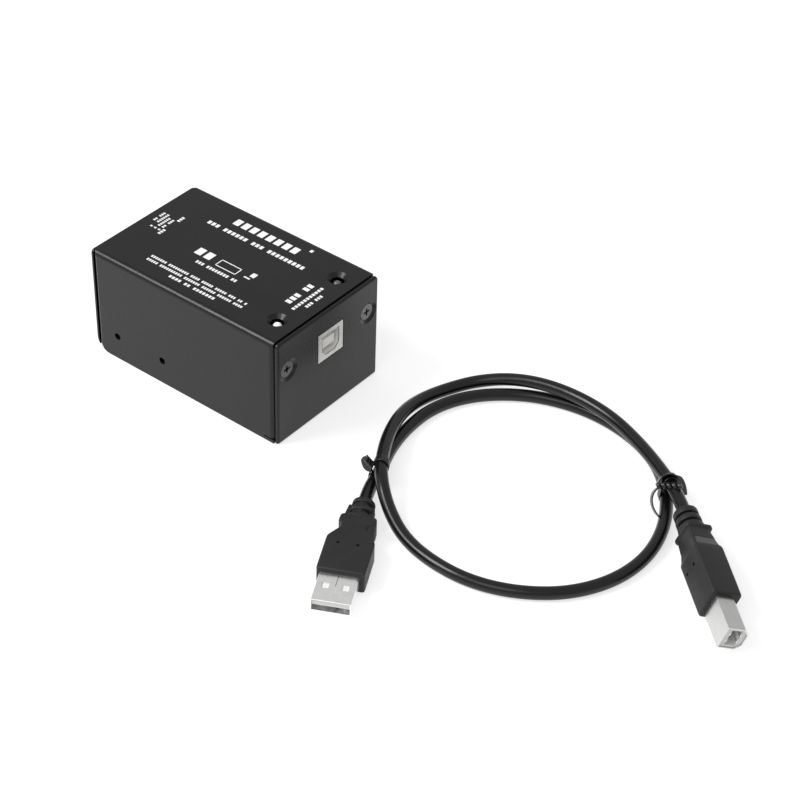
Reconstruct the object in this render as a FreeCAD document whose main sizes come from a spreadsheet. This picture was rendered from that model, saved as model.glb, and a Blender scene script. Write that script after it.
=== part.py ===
import FreeCAD, Part
import math
import os
import re
from types import SimpleNamespace

import Sketcher

# A small sheet-metal box that turns a USB port into a stage-lighting output, with its USB lead.
# Millimetres, +Z up. The origin is the middle of the box's underside, the USB end faces -Y and
# the long side with the two tapped holes faces -X.

SIZES = {
    # Enclosure: a folded cover over a folded tray whose ends are the two end panels
    "case_width": 50.0,
    "case_length": 80.0,
    "case_height": 40.0,
    "sheet_wall": 1.2,
    "cover_lift": 0.3,
    "panel_gap": 0.5,
    "top_bend": 2.0,
    "end_bend": 1.6,
    "far_bend": 4.5,
    "near_bend": 1.2,
    "tab_clear": 0.7,
    "tab_gap": 0.3,
    "slit_rise": 1.2,
    "slit_height": 0.4,
    "slit_length": 4.0,
    "tray_gap": 0.2,
    "panel_inset": 0.4,
    "panel_drop": 0.5,
    "panel_corner": 1.5,
    "panel_edge": 0.8,
    # Tapped holes in the long side
    "side_hole_radius": 1.25,
    "side_hole_height": 9.4,
    "side_hole_station": 9.5,
    "side_hole_pitch": 20.0,
    # Dishes over the two lamps
    "lamp_inset": 10.4,
    "lamp_setback": 8.8,
    "dish_mouth_radius": 3.45,
    "dish_hole_radius": 2.08,
    # Panel screws in their dimples
    "screw_inset": 5.4,
    "screw_drop": 12.4,
    "dimple_mouth_radius": 4.1,
    "dimple_hole_radius": 2.0,
    "head_gap": 0.15,
    "head_sink": 0.65,
    "shank_radius": 1.4,
    "tab_hole_radius": 1.5,
    "shank_length": 6.0,
    "recess_width": 0.7,
    "recess_span": 2.8,
    "recess_depth": 0.8,
    # Circuit board, hung under the cover with its parts facing down
    "board_side_gap": 5.0,
    "board_thick": 1.6,
    "board_drop": 6.1,
    "board_near_gap": 3.1,
    "board_output_gap": 0.5,
    "tail_margin": 1.6,
    "hole_gap": 0.12,
    "pin_out": 1.2,
    "pin_half": 0.3,
    # Indicator lamps
    "lamp_radius": 1.5,
    "lamp_drop": 1.3,
    "lamp_flange_radius": 1.9,
    "lamp_flange_thick": 0.9,
    "lamp_lift": 0.3,
    "lamp_leg_pitch": 2.54,
    # Square USB socket, mounted upside down in the near panel
    "socket_side": 0.8,
    "socket_seat": 0.05,
    "socket_width": 12.04,
    "socket_tall": 10.9,
    "socket_deep": 16.4,
    "socket_skin": 0.4,
    "socket_gap": 0.05,
    "mouth_width": 8.45,
    "mouth_tall": 7.78,
    "mouth_chamfer": 1.9,
    "mouth_deep": 9.0,
    "tongue_width": 5.6,
    "tongue_thick": 3.2,
    "tongue_back": 0.9,
    "cutout_gap": 0.3,
    "socket_contact_width": 1.2,
    "socket_contact_thick": 0.25,
    "socket_contact_pitch": 2.5,
    "socket_leg_width": 2.2,
    "socket_leg_station": 7.0,
    # Output connector in the far panel
    "xlr_side": 25.0,
    "xlr_deep": 18.0,
    "xlr_ring_radius": 12.0,
    "xlr_ring_proud": 0.5,
    "xlr_bore_radius": 9.7,
    "xlr_bore_deep": 16.0,
    "xlr_corner": 2.0,
    "insert_radius": 7.9,
    "insert_back": 0.8,
    "pin_circle": 5.0,
    "contact_radius": 1.7,
    "contact_bore": 1.2,
    "contact_gap": 0.1,
    "contact_length": 13.0,
    "contact_tail": 0.4,
    "latch_width": 6.0,
    "latch_low": 9.85,
    "latch_high": 11.35,
    "latch_gap": 0.15,
    "latch_proud": 0.3,
    "latch_length": 12.0,
    "latch_travel": 1.5,
    "tooth_width": 3.0,
    "tooth_drop": 0.9,
    "tooth_length": 2.0,
    "tooth_setback": 5.0,
    "spring_radius": 0.5,
    "spring_wire": 0.11,
    "spring_turns": 6.0,
    "xlr_screw_offset": 10.3,
    "xlr_screw_head": 2.0,
    "xlr_screw_shank": 1.0,
    "xlr_screw_length": 7.0,
    "xlr_recess_span": 2.0,
    "xlr_recess_width": 0.5,
    # Parts on the board
    "chip_lift": 0.1,
    "lead_thick": 0.2,
    "lead_width": 0.4,
    "lead_reach": 0.9,
    "controller_side": 7.0,
    "controller_thick": 1.4,
    "controller_pitch": 0.8,
    "driver_width": 4.0,
    "driver_length": 5.0,
    "driver_thick": 1.5,
    "driver_pitch": 1.27,
    "opto_width": 6.4,
    "opto_length": 7.6,
    "opto_thick": 3.4,
    "opto_pitch": 2.54,
    "converter_width": 7.0,
    "converter_length": 19.6,
    "converter_tall": 10.0,
    "crystal_width": 4.6,
    "crystal_length": 11.0,
    "crystal_thick": 3.5,
    "can_radius": 2.5,
    "can_tall": 7.0,
    "can_groove": 0.3,
    "capacitor_length": 2.0,
    "capacitor_width": 1.25,
    "capacitor_thick": 0.8,
    "resistor_length": 1.6,
    "resistor_width": 0.8,
    "resistor_thick": 0.45,
    "fuse_length": 4.5,
    "fuse_width": 3.2,
    "fuse_thick": 0.8,
    # Cord of the lead
    "cord_diameter": 4.2,
    # Flat plug
    "flat_yaw": -153.0,
    "flat_pitch": 0.0,
    "flat_roll": 0.0,
    "flat_relief": 9.1,
    "flat_relief_radius": 3.4,
    "flat_relief_end": 2.9,
    "flat_ring_count": 3.0,
    "flat_ring_width": 1.5,
    "flat_ring_radius": 3.3,
    "flat_ring_spread": 1.7,
    "flat_wing_length": 3.6,
    "flat_wing_half": 5.7,
    "flat_neck_length": 1.0,
    "flat_neck_half": 4.5,
    "flat_shoulder": 5.4,
    "flat_body_length": 14.6,
    "flat_body_half": 7.2,
    "flat_body_thick": 8.0,
    "flat_wing_thick": 7.4,
    "flat_edge": 1.0,
    "flat_shell_length": 12.3,
    "flat_shell_width": 12.0,
    "flat_shell_thick": 4.5,
    "shell_skin": 0.3,
    "shell_grip": 3.0,
    "flat_tongue_thick": 1.9,
    "flat_tongue_back": 0.3,
    "flat_contact_width": 1.0,
    "flat_contact_inner": 1.0,
    "flat_contact_outer": 3.5,
    "plug_contact_thick": 0.15,
    "plug_gap": 0.05,
    "window_side": 2.2,
    "window_offset": 3.0,
    "window_back": 6.3,
    "dimple_radius": 0.5,
    "dimple_depth": 0.5,
    "flat_dimple_offset": 3.0,
    "flat_dimple_back": 23.2,
    # Square plug, lying on its side
    "square_yaw": -131.8,
    "square_pitch": 2.1,
    "square_roll": -18.5,
    "square_relief": 8.6,
    "square_relief_radius": 3.6,
    "square_relief_end": 2.9,
    "square_ring_count": 3.0,
    "square_ring_width": 2.0,
    "square_ring_radius": 4.2,
    "square_ring_end": 3.9,
    "square_wing_length": 1.5,
    "square_wing_half": 5.0,
    "square_neck_length": 8.0,
    "square_neck_half": 4.1,
    "square_neck_tall": 4.3,
    "square_band_step": 0.5,
    "square_band_start": 3.5,
    "square_band_length": 4.0,
    "square_body_length": 20.5,
    "square_body_half": 5.1,
    "square_body_tall": 5.5,
    "square_edge": 1.5,
    "square_shell_length": 13.0,
    "square_shell_width": 7.26,
    "square_shell_tall": 8.0,
    "square_shell_chamfer": 1.7,
    "square_slot_width": 5.8,
    "square_slot_tall": 3.4,
    "square_slot_deep": 9.0,
    "square_insert_back": 0.4,
    "square_contact_width": 1.0,
    "square_contact_pitch": 2.5,
    "square_dimple_back": 27.7,
    "square_dimple_offset": 2.2,
    # Twist ties
    "tie_clear": 0.4,
    "tie_thick": 0.45,
    "tie_width": 2.6,
    "knot_radius": 1.0,
    "knot_length": 3.6,
    "knot_twist": 0.35,
    "left_tie_x": -18.6,
    "left_tie_y": -75.4,
    "right_tie_x": 33.4,
    "right_tie_y": -148.8,
    "tail_radius": 4.4,
    "tail_start": 60.0,
    "tail_stop": 205.0,
    "hoop_chord": 11.0,
    "hoop_bulge": 2.8,
    "hoop_lean": 16.0,
    "hoop_drop": 1.6,
    # How far a cutter runs past what it cuts
    "overrun": 1.0,
}

# How high the output connector's middle stands, as a share of the box's height
XLR_HEIGHT_SHARE = 0.4875

# Sizes and places that follow from the ones above
RULES = {
    "cover_end": "case_length / 2 - sheet_wall - panel_gap",
    "under_top": "case_height - sheet_wall",
    "tab_edge": "xlr_side / 2 + tab_clear",
    "tab_width": "case_width / 2 - tab_edge",
    "lamp_side": "case_width / 2 - lamp_inset",
    "lamp_row": "lamp_setback - case_length / 2",
    "screw_side": "case_width / 2 - screw_inset",
    "screw_height": "case_height - screw_drop",
    "board_width": "case_width - 2 * board_side_gap",
    "board_top": "case_height - board_drop",
    "board_under": "board_top - board_thick",
    "board_near": "board_near_gap - case_length / 2",
    "board_far": "case_length / 2 - sheet_wall - xlr_deep - board_output_gap",
    "pin_room": "pin_half + hole_gap",
    "socket_middle": "board_under - socket_seat - socket_tall / 2",
    "socket_tail": "socket_deep + 2 * pin_half - case_length / 2",
    "xlr_middle": f"case_height * {XLR_HEIGHT_SHARE}",
    "output_tail": "board_far - tail_margin",
    "middle_start": "socket_tail + 2 * pin_half",
    "middle_stop": "output_tail - 2 * pin_half",
}

# The cord's route: out of the flat plug, once and a half round its loop, and into the square plug
CORD_ROUTE = [
    (-31.9, -80.7, 4.0),
    (-26.0, -77.7, 4.0),
    (-18.6, -75.0, 2.95),
    (-12.0, -72.2, 2.2),
    (-3.4, -68.9, 2.1),
    (7.5, -66.9, 2.1),
    (19.5, -67.0, 2.1),
    (31.0, -71.4, 2.1),
    (40.6, -79.8, 2.1),
    (47.8, -91.0, 2.1),
    (51.6, -105.0, 2.1),
    (51.0, -120.0, 2.1),
    (45.4, -135.0, 2.7),
    (35.2, -147.0, 3.1),
    (21.2, -155.8, 2.5),
    (6.0, -159.4, 2.1),
    (-9.0, -157.4, 2.1),
    (-22.2, -150.0, 2.1),
    (-31.6, -138.4, 2.1),
    (-36.8, -125.2, 2.1),
    (-37.4, -111.4, 2.1),
    (-34.6, -98.4, 2.1),
    (-29.0, -87.6, 4.4),
    (-22.6, -79.6, 8.0),
    (-13.4, -73.0, 8.0),
    (-2.8, -67.4, 7.1),
    (8.6, -63.5, 5.8),
    (20.4, -62.1, 3.2),
    (31.4, -65.0, 2.3),
    (39.8, -70.8, 3.4),
    (45.4, -80.0, 5.6),
    (48.7, -91.2, 7.0),
    (50.1, -104.0, 7.1),
    (48.4, -117.2, 7.2),
    (43.6, -129.8, 7.4),
    (37.1, -142.1, 7.9),
    (29.83, -153.54, 8.24),
    (23.7, -160.4, 7.9),
]
LEAST_GAP = 0.4
# How much of the shorter run beside a corner of the route its arc may take
ARC_SHARE = 0.45
# Steps between points on a winding, and the run that counts as one stretch, as shares of its width
STEP_SHARE = 0.125
STRETCH_SHARE = 6.0
# Where the two turns stand on a tie's twisted end, and how much that end rises on its way out
KNOT_SHARES = (0.45, 0.8)
KNOT_RISE_SHARE = 0.5

# Places of the board's parts: a share of the board's width and a share of the run that they stand
# on, which is the run between the two connectors' tails or the one from the lamps to the far edge
MIDDLE_RUN = ("middle_start", "middle_stop")
SIDE_RUN = ("lamp_row", "board_far")
CONTROLLER_SHARES = (0.02, 0.24)
CRYSTAL_SHARES = (-0.03, 0.505)
DRIVER_SHARES = (0.0, 0.7)
OPTO_SHARES = ((-0.35, 0.395), (-0.35, 0.603), (-0.35, 0.812))
CONVERTER_SHARES = (0.28, 0.47)
CAN_SHARES = ((0.3, 0.12), (-0.3, 0.22))
FUSE_SHARES = (-0.25, 0.085)
MIDDLE_CAPACITOR_SHARES = ((-0.17, 0.2), (-0.17, 0.3), (-0.1, 0.86), (0.06, 0.86))
SIDE_CAPACITOR_SHARES = ((0.22, 0.8), (0.34, 0.8))
MIDDLE_RESISTOR_SHARES = ((-0.09, 0.04), (0.05, 0.04), (-0.1, 0.94), (0.04, 0.94))
SIDE_RESISTOR_SHARES = ((0.22, 0.88), (0.34, 0.88), (-0.42, 0.085), (0.43, 0.12))
# Angles of the output connector's three contacts, seen from outside, in degrees
CONTACT_ANGLES = (35.0, 145.0, 270.0)
# How many leads stand in one row
SOCKET_PINS = 4
CONTROLLER_LEADS = 8
DRIVER_LEADS = 4
OPTO_LEADS = 3

doc = FreeCAD.newDocument("lighting_interface")
sheet = doc.addObject("Spreadsheet::Sheet", "Sizes")
for row, alias in enumerate((*SIZES, *RULES), start=1):
    cell = f"A{row}"
    sheet.set(cell, str(SIZES[alias]) if alias in SIZES else f"={RULES[alias]}")
    sheet.setAlias(cell, alias)
doc.recompute()
size = SimpleNamespace(**{alias: float(sheet.get(alias)) for alias in (*SIZES, *RULES)})

NAME = re.compile(r"[a-z][a-z0-9_]*")
VECTOR = FreeCAD.Vector
TURNS = {
    "x": FreeCAD.Rotation(VECTOR(0, 1, 0), 90),
    "-x": FreeCAD.Rotation(VECTOR(0, 1, 0), -90),
    "y": FreeCAD.Rotation(VECTOR(1, 0, 0), -90),
    "-y": FreeCAD.Rotation(VECTOR(1, 0, 0), 90),
    "z": FreeCAD.Rotation(),
    "-z": FreeCAD.Rotation(VECTOR(1, 0, 0), 180),
}
nodes = []


def bind(item, prop, rule):
    """Ties one property to a rule written in the names of the sheet's sizes."""
    item.setExpression(prop, NAME.sub(lambda word: f"Sizes.{word.group()}", str(rule)))


def place(item, spot, turn="z"):
    """Turns a piece onto an axis and ties its place to three rules."""
    item.Placement = FreeCAD.Placement(VECTOR(), TURNS[turn])
    for axis, rule in zip("xyz", spot):
        bind(item, f"Placement.Base.{axis}", rule)
    return item


def block(name, middle, sides):
    """A rectangular block about its middle."""
    item = doc.addObject("Part::Box", name)
    for prop, rule in zip(("Length", "Width", "Height"), sides):
        bind(item, prop, rule)
    return place(item, [f"({spot}) - ({side}) / 2" for spot, side in zip(middle, sides)])


def rod(name, start, axis, radius, length):
    """A round rod from the middle of its first face."""
    item = doc.addObject("Part::Cylinder", name)
    bind(item, "Radius", radius)
    bind(item, "Height", length)
    return place(item, start, axis)


def taper(name, start, axis, radii, length):
    """A cone frustum from the middle of its first face."""
    item = doc.addObject("Part::Cone", name)
    bind(item, "Radius1", radii[0])
    bind(item, "Radius2", radii[1])
    bind(item, "Height", length)
    return place(item, start, axis)


def fuse(name, pieces):
    item = doc.addObject("Part::MultiFuse", name)
    item.Shapes = pieces
    return item


def group(name, pieces):
    """Several separate solids that share one node."""
    item = doc.addObject("Part::Compound", name)
    item.Links = pieces
    return item


def cut(name, base, tools):
    item = doc.addObject("Part::Cut", name)
    item.Base = base
    item.Tool = tools[0] if len(tools) == 1 else group(f"{name}_tools", tools)
    return item


def common(name, first, second):
    item = doc.addObject("Part::Common", name)
    item.Base = first
    item.Tool = second
    return item


def node(label, item):
    """Names a finished sub-part and lists it for writing."""
    item.Label = label
    nodes.append(item)
    return item


def sketch_on(body, role, lift="0"):
    """A new sketch on one of the body's own planes, lifted along the plane's normal."""
    sketch = body.newObject("Sketcher::SketchObject", f"{body.Name}_sketch")
    plane = next(item for item in body.Origin.OriginFeatures if item.Role == role)
    sketch.AttachmentSupport = [(plane, "")]
    sketch.MapMode = "FlatFace"
    bind(sketch, "AttachmentOffset.Base.z", lift)
    return sketch


def outline(sketch, corners):
    """Draws a closed outline; each corner is held by two rules, across and up from the origin."""
    count = len(corners)
    first = sketch.GeometryCount
    ring = [VECTOR(math.cos(math.tau * k / count), math.sin(math.tau * k / count), 0) for k in range(count)]
    for k in range(count):
        sketch.addGeometry(Part.LineSegment(ring[k], ring[(k + 1) % count]))
    for k in range(count):
        sketch.addConstraint(Sketcher.Constraint("Coincident", first + k, 2, first + (k + 1) % count, 1))
    for k, corner in enumerate(corners):
        for kind, rule, start in zip(("DistanceX", "DistanceY"), corner, (ring[k].x, ring[k].y)):
            index = sketch.addConstraint(Sketcher.Constraint(kind, -1, 1, first + k, 1, start))
            bind(sketch, f"Constraints[{index}]", rule)
    return sketch


def rectangle(sketch, left, right, low, high):
    return outline(sketch, [(left, low), (right, low), (right, high), (left, high)])


def pad(body, sketch, length, middle=False, back=False):
    item = body.newObject("PartDesign::Pad", f"{body.Name}_pad")
    item.Profile = sketch
    item.Midplane = middle
    item.Reversed = back
    bind(item, "Length", length)
    return item


def round_edges(body, radius, chosen):
    """Rounds the edges of the body's tip that the test picks."""
    doc.recompute()
    base = body.Tip
    names = [f"Edge{k}" for k, edge in enumerate(base.Shape.Edges, start=1) if chosen(edge)]
    item = body.newObject("PartDesign::Fillet", f"{body.Name}_round")
    item.Base = (base, names)
    bind(item, "Radius", radius)
    return item


def runs_along(edge, axis):
    """Whether a straight edge lies along one axis."""
    if not isinstance(edge.Curve, (Part.Line, Part.LineSegment)):
        return False
    step = edge.Vertexes[-1].Point - edge.Vertexes[0].Point
    return math.isclose(abs(step.dot(axis)), step.Length, rel_tol=1e-6)


def same(first, second):
    return math.isclose(first, second, abs_tol=1e-4)


SIDE_NAMES = {"-": "left", "+": "right"}
END_NAMES = {"-": "near", "+": "far"}
OUTPUT_SCREW_SPOTS = (
    ("-xlr_screw_offset", "xlr_middle + xlr_screw_offset"),
    ("xlr_screw_offset", "xlr_middle - xlr_screw_offset"),
)
X_AXIS = VECTOR(1, 0, 0)
Y_AXIS = VECTOR(0, 1, 0)
Z_AXIS = VECTOR(0, 0, 1)


def bent_block(name, inset, end_radius, top_radius):
    """The cover's space: bent over along its length and round its upright corners."""
    section = doc.addObject("PartDesign::Body", f"{name}_section")
    side = f"case_width / 2 - ({inset})"
    end = f"cover_end - ({inset})"
    top = f"case_height - ({inset})"
    pad(section, rectangle(sketch_on(section, "XZ_Plane"), f"-({side})", side, "cover_lift", top),
        f"2 * ({end})", middle=True)
    round_edges(section, top_radius, lambda edge: runs_along(edge, Y_AXIS)
                and edge.CenterOfMass.z > size.case_height / 2)
    plan = doc.addObject("PartDesign::Body", f"{name}_plan")
    pad(plan, rectangle(sketch_on(plan, "XY_Plane"), f"-({side})", side, f"-({end})", end), top)
    round_edges(plan, end_radius, lambda edge: runs_along(edge, Z_AXIS))
    return common(name, section, plan)


def cover_corner_cutters(x_sign, y_sign):
    """The slits that part an end tab from the top and from the foot of the long side."""
    tag = f"{SIDE_NAMES[x_sign]}_{END_NAMES[y_sign]}"
    return [
        block(f"tab_slit_{tag}",
              (f"{x_sign}(tab_edge + (tab_width - end_bend) / 2)", f"{y_sign}(cover_end - sheet_wall / 2)",
               "under_top - tab_gap / 2"),
              ("tab_width - end_bend", "sheet_wall + tab_gap", "tab_gap")),
        block(f"tab_foot_{tag}",
              (f"{x_sign}(tab_edge + tab_width / 2)", f"{y_sign}(cover_end - end_bend / 2 + overrun / 2)",
               "cover_lift + (slit_rise + slit_height) / 2"),
              ("tab_width + 2 * overrun", "end_bend + overrun", "slit_rise + slit_height")),
    ]


def cover_side_cutters(sign):
    """One long side's slit, screw hole through both tabs, and the lamp's dish with its hole."""
    tag = SIDE_NAMES[sign]
    return [
        block(f"side_slit_{tag}",
              (f"{sign}(case_width / 2)", "slit_length / 2 - cover_end",
               "cover_lift + slit_rise + slit_height / 2"),
              ("4 * sheet_wall", "slit_length", "slit_height")),
        rod(f"tab_hole_{tag}", (f"{sign}screw_side", "-(cover_end + overrun)", "screw_height"), "y",
            "tab_hole_radius", "2 * (cover_end + overrun)"),
        taper(f"lamp_dish_{tag}", (f"{sign}lamp_side", "lamp_row", "under_top"), "z",
              ("dish_hole_radius", "dish_mouth_radius"), "sheet_wall"),
        rod(f"dish_hole_{tag}", (f"{sign}lamp_side", "lamp_row", "under_top - sheet_wall"), "z",
            "dish_hole_radius", "3 * sheet_wall"),
    ]


def side_hole(k):
    """One of the two tapped holes in the long side."""
    spot = ("-case_width / 2 - overrun", f"side_hole_station + {k} * side_hole_pitch", "side_hole_height")
    return rod(f"side_hole_{k}", spot, "x", "side_hole_radius", "sheet_wall + 2 * overrun")


def far_corner_waste():
    """What the rounded lower corners of the far end leave out."""
    middle = ("0", "cover_end - far_bend / 2 + overrun / 2", "cover_lift + far_bend / 2 - overrun / 2")
    corner = block("far_corner_block", middle,
                   ("case_width + 2 * overrun", "far_bend + overrun", "far_bend + overrun"))
    start = ("-case_width / 2 - 2 * overrun", "cover_end - far_bend", "cover_lift + far_bend")
    return cut("far_corner_waste", corner, [rod("far_corner_kept", start, "x", "far_bend",
                                                "case_width + 4 * overrun")])


def make_cover():
    """The folded cover: long sides, top, end tabs, lamp dishes and tapped side holes."""
    outer = bent_block("cover_outer", "0", "end_bend", "top_bend")
    inner = bent_block("cover_inner", "sheet_wall", "end_bend - sheet_wall", "top_bend - sheet_wall")
    cutters = [
        inner,
        block("cover_mouth", ("0", "0", "cover_lift"),
              ("case_width - 2 * sheet_wall", "2 * (cover_end - end_bend)", "2 * overrun")),
        block("end_windows", ("0", "0", "under_top / 2"),
              ("2 * tab_edge", "2 * (cover_end + overrun)", "under_top")),
        side_hole(0),
        side_hole(1),
    ]
    for x_sign in "-+":
        cutters += cover_side_cutters(x_sign)
        for y_sign in "-+":
            cutters += cover_corner_cutters(x_sign, y_sign)
    feet = [
        block(f"side_foot_{SIDE_NAMES[sign]}",
              (f"{sign}(case_width / 2 - sheet_wall / 2)", "slit_length / 2 - cover_end",
               "cover_lift + slit_rise / 2"),
              ("sheet_wall", "slit_length", "slit_rise"))
        for sign in "-+"
    ]
    folded = fuse("cover_folded", [cut("cover_cut", outer, cutters)] + feet)
    node("cover_shell", cut("cover_shell", folded, [far_corner_waste()]))


def end_screw_cutters(x_sign, y_sign):
    """One panel screw's dimple and hole."""
    name = f"dimple_{SIDE_NAMES[x_sign]}_{END_NAMES[y_sign]}"
    axis = "y" if y_sign == "-" else "-y"
    mouth = (f"{x_sign}screw_side", f"{y_sign}case_length / 2", "screw_height")
    half_way = (f"{x_sign}screw_side", f"{y_sign}(case_length / 2 - sheet_wall / 2)", "screw_height")
    return [
        taper(name, mouth, axis, ("dimple_mouth_radius", "dimple_hole_radius"), "sheet_wall"),
        rod(f"{name}_hole", half_way, axis, "dimple_hole_radius", "sheet_wall"),
    ]


def output_screw_cutters(tag, spot):
    """One countersunk hole for a screw of the output connector."""
    start = (spot[0], "case_length / 2", spot[1])
    return [
        taper(f"xlr_dimple_{tag}", start, "-y", ("xlr_screw_head", "xlr_screw_shank"), "sheet_wall"),
        rod(f"xlr_hole_{tag}", start, "-y", "xlr_screw_shank + head_gap", "2 * sheet_wall"),
    ]


def make_tray():
    """The folded tray: the bottom and both end panels, with their cut-outs and screw dimples."""
    tray = doc.addObject("PartDesign::Body", "tray_fold")
    half = "(case_width / 2 - panel_inset)"
    high = "(case_height - panel_drop)"
    pad(tray, rectangle(sketch_on(tray, "YZ_Plane"), "-case_length / 2", "case_length / 2", "0", high),
        f"2 * {half}", middle=True)
    round_edges(tray, "near_bend", lambda edge: runs_along(edge, X_AXIS) and same(edge.CenterOfMass.z, 0)
                and edge.CenterOfMass.y < 0)
    round_edges(tray, "far_bend", lambda edge: runs_along(edge, X_AXIS) and same(edge.CenterOfMass.z, 0)
                and edge.CenterOfMass.y > 0)
    round_edges(tray, "panel_corner", lambda edge: runs_along(edge, Y_AXIS)
                and edge.CenterOfMass.z > size.case_height / 2)
    round_edges(tray, "panel_edge", lambda edge: same(edge.BoundBox.YLength, 0)
                and same(abs(edge.CenterOfMass.y), size.case_length / 2)
                and edge.CenterOfMass.z > size.far_bend + size.overrun)
    inside = doc.addObject("PartDesign::Body", "tray_inside")
    pad(inside, rectangle(sketch_on(inside, "YZ_Plane"), "-(case_length / 2 - sheet_wall)",
                          "case_length / 2 - sheet_wall", "sheet_wall", f"{high} + overrun"),
        f"2 * {half} + 2 * overrun", middle=True)
    round_edges(inside, "far_bend - sheet_wall", lambda edge: runs_along(edge, X_AXIS)
                and same(edge.CenterOfMass.z, size.sheet_wall) and edge.CenterOfMass.y > 0)
    cutters = [
        inside,
        block("socket_cutout", ("socket_side", "-case_length / 2", "socket_middle"),
              ("socket_width + 2 * cutout_gap", "4 * sheet_wall", "socket_tall + 2 * cutout_gap")),
        rod("xlr_cutout", ("0", "case_length / 2 - 2 * sheet_wall", "xlr_middle"), "y",
            "xlr_ring_radius + head_gap", "4 * sheet_wall"),
    ]
    for x_sign in "-+":
        cutters.append(block(
            f"bottom_strip_{SIDE_NAMES[x_sign]}",
            (f"{x_sign}(case_width / 2 - sheet_wall - tray_gap + overrun)", "0", "far_bend / 2"),
            ("2 * overrun", "case_length - 2 * sheet_wall", "far_bend + 2 * overrun")))
        for y_sign in "-+":
            cutters += end_screw_cutters(x_sign, y_sign)
    for k, spot in enumerate(OUTPUT_SCREW_SPOTS):
        cutters += output_screw_cutters(k, spot)
    node("base_tray", cut("base_tray", tray, cutters))


def panel_screw(name, x_rule, end, axis):
    """A cross-head screw, sunk in its dimple and threaded into the tab."""
    def at(depth):
        return (x_rule, f"{end}(case_length / 2 - ({depth}))", "screw_height")
    slope = "(dimple_mouth_radius - dimple_hole_radius) / sheet_wall"
    sunk = f"dimple_mouth_radius - {slope} * head_sink - head_gap"
    head = taper(f"{name}_head", at("head_sink"), axis, (sunk, "dimple_hole_radius - head_gap"),
                 "sheet_wall - head_sink")
    shank = rod(f"{name}_shank", at("sheet_wall"), axis, "shank_radius", "shank_length")
    recess = at("head_sink + recess_depth / 2")
    bars = [
        block(f"{name}_bar_wide", recess, ("recess_span", "recess_depth", "recess_width")),
        block(f"{name}_bar_tall", recess, ("recess_width", "recess_depth", "recess_span")),
    ]
    return cut(name, fuse(f"{name}_body", [head, shank]), bars)


def make_panel_screws():
    for label, end, axis in (("near_panel_screws", "-", "y"), ("far_panel_screws", "+", "-y")):
        pair = [panel_screw(f"{label}_{k}", f"{sign}screw_side", end, axis) for k, sign in enumerate("-+")]
        node(label, group(label, pair))


def post(name, x_rule, y_rule, low, high):
    """A square pin that stands up through the board."""
    return block(name, (x_rule, y_rule, f"(({low}) + ({high})) / 2"),
                 ("2 * pin_half", "2 * pin_half", f"({high}) - ({low})"))


def lamp_pins():
    return [
        (f"{sign}lamp_side {leg} lamp_leg_pitch / 2", "lamp_row")
        for sign in "-+" for leg in "-+"
    ]


def centred(count):
    """Places of a row of equal steps about its middle, in steps."""
    return [k - (count - 1) / 2 for k in range(count)]


def socket_pins():
    return [(f"socket_side + {step} * socket_contact_pitch", "socket_tail") for step in centred(SOCKET_PINS)]


def output_pins():
    return [
        (f"pin_circle * {math.cos(math.radians(angle)):.6f}", "output_tail")
        for angle in CONTACT_ANGLES
    ]


def make_board():
    """The circuit board, with a hole for each pin and a slot for each socket leg."""
    board = doc.addObject("PartDesign::Body", "board_plate")
    pad(board, rectangle(sketch_on(board, "XY_Plane", "board_under"), "-board_width / 2", "board_width / 2",
                         "board_near", "board_far"), "board_thick")
    round_edges(board, "board_thick / 2", lambda edge: runs_along(edge, Z_AXIS))
    middle = "board_under + board_thick / 2"
    cutters = [
        block(f"board_hole_{k}", (x_rule, y_rule, middle),
              ("2 * pin_room", "2 * pin_room", "2 * board_thick"))
        for k, (x_rule, y_rule) in enumerate(lamp_pins() + socket_pins() + output_pins())
    ]
    for k, sign in enumerate("-+"):
        across = f"socket_side {sign} (socket_width / 2 - socket_skin / 2)"
        cutters.append(block(
            f"leg_slot_{k}", (across, "socket_leg_station - case_length / 2", middle),
            ("socket_skin + 2 * hole_gap", "socket_leg_width + 2 * hole_gap", "2 * board_thick")))
    node("circuit_board", cut("circuit_board", board, cutters))


def make_lamp(label, sign):
    """An indicator lamp on its two legs, its dome under the dish."""
    x_rule = f"{sign}lamp_side"
    y_rule = "lamp_row"
    base = "(board_top + lamp_lift)"
    shoulder = "(case_height - lamp_drop - lamp_radius)"
    flange = rod(f"{label}_flange", (x_rule, y_rule, base), "z", "lamp_flange_radius", "lamp_flange_thick")
    barrel = rod(f"{label}_barrel", (x_rule, y_rule, base), "z", "lamp_radius", f"{shoulder} - {base}")
    dome = doc.addObject("Part::Sphere", f"{label}_dome")
    bind(dome, "Radius", "lamp_radius")
    place(dome, (x_rule, y_rule, shoulder))
    legs = [
        post(f"{label}_leg_{leg}", f"{x_rule} {leg} lamp_leg_pitch / 2".replace("+-", "-"), y_rule,
             "board_under - pin_out", base)
        for leg in "-+"
    ]
    node(label, fuse(label, [flange, barrel, dome] + legs))


def mouth_outline(sketch, width, tall, chamfer, upside_down):
    """The square plug's section: a rectangle with two corners cut off, at the foot or at the top."""
    across = f"{width} / 2"
    up = f"{tall} / 2"
    cut_up, plain_up = ("-", "") if upside_down else ("", "-")
    corners = [
        (f"-{across}", f"{plain_up}{up}"),
        (across, f"{plain_up}{up}"),
        (across, f"{cut_up}({up} - {chamfer})"),
        (f"{across} - {chamfer}", f"{cut_up}{up}"),
        (f"-({across} - {chamfer})", f"{cut_up}{up}"),
        (f"-{across}", f"{cut_up}({up} - {chamfer})"),
    ]
    return outline(sketch, corners)


SOCKET_FRONT = "-case_length / 2"
SOCKET_INSIDE = "(socket_skin + socket_gap)"


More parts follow.
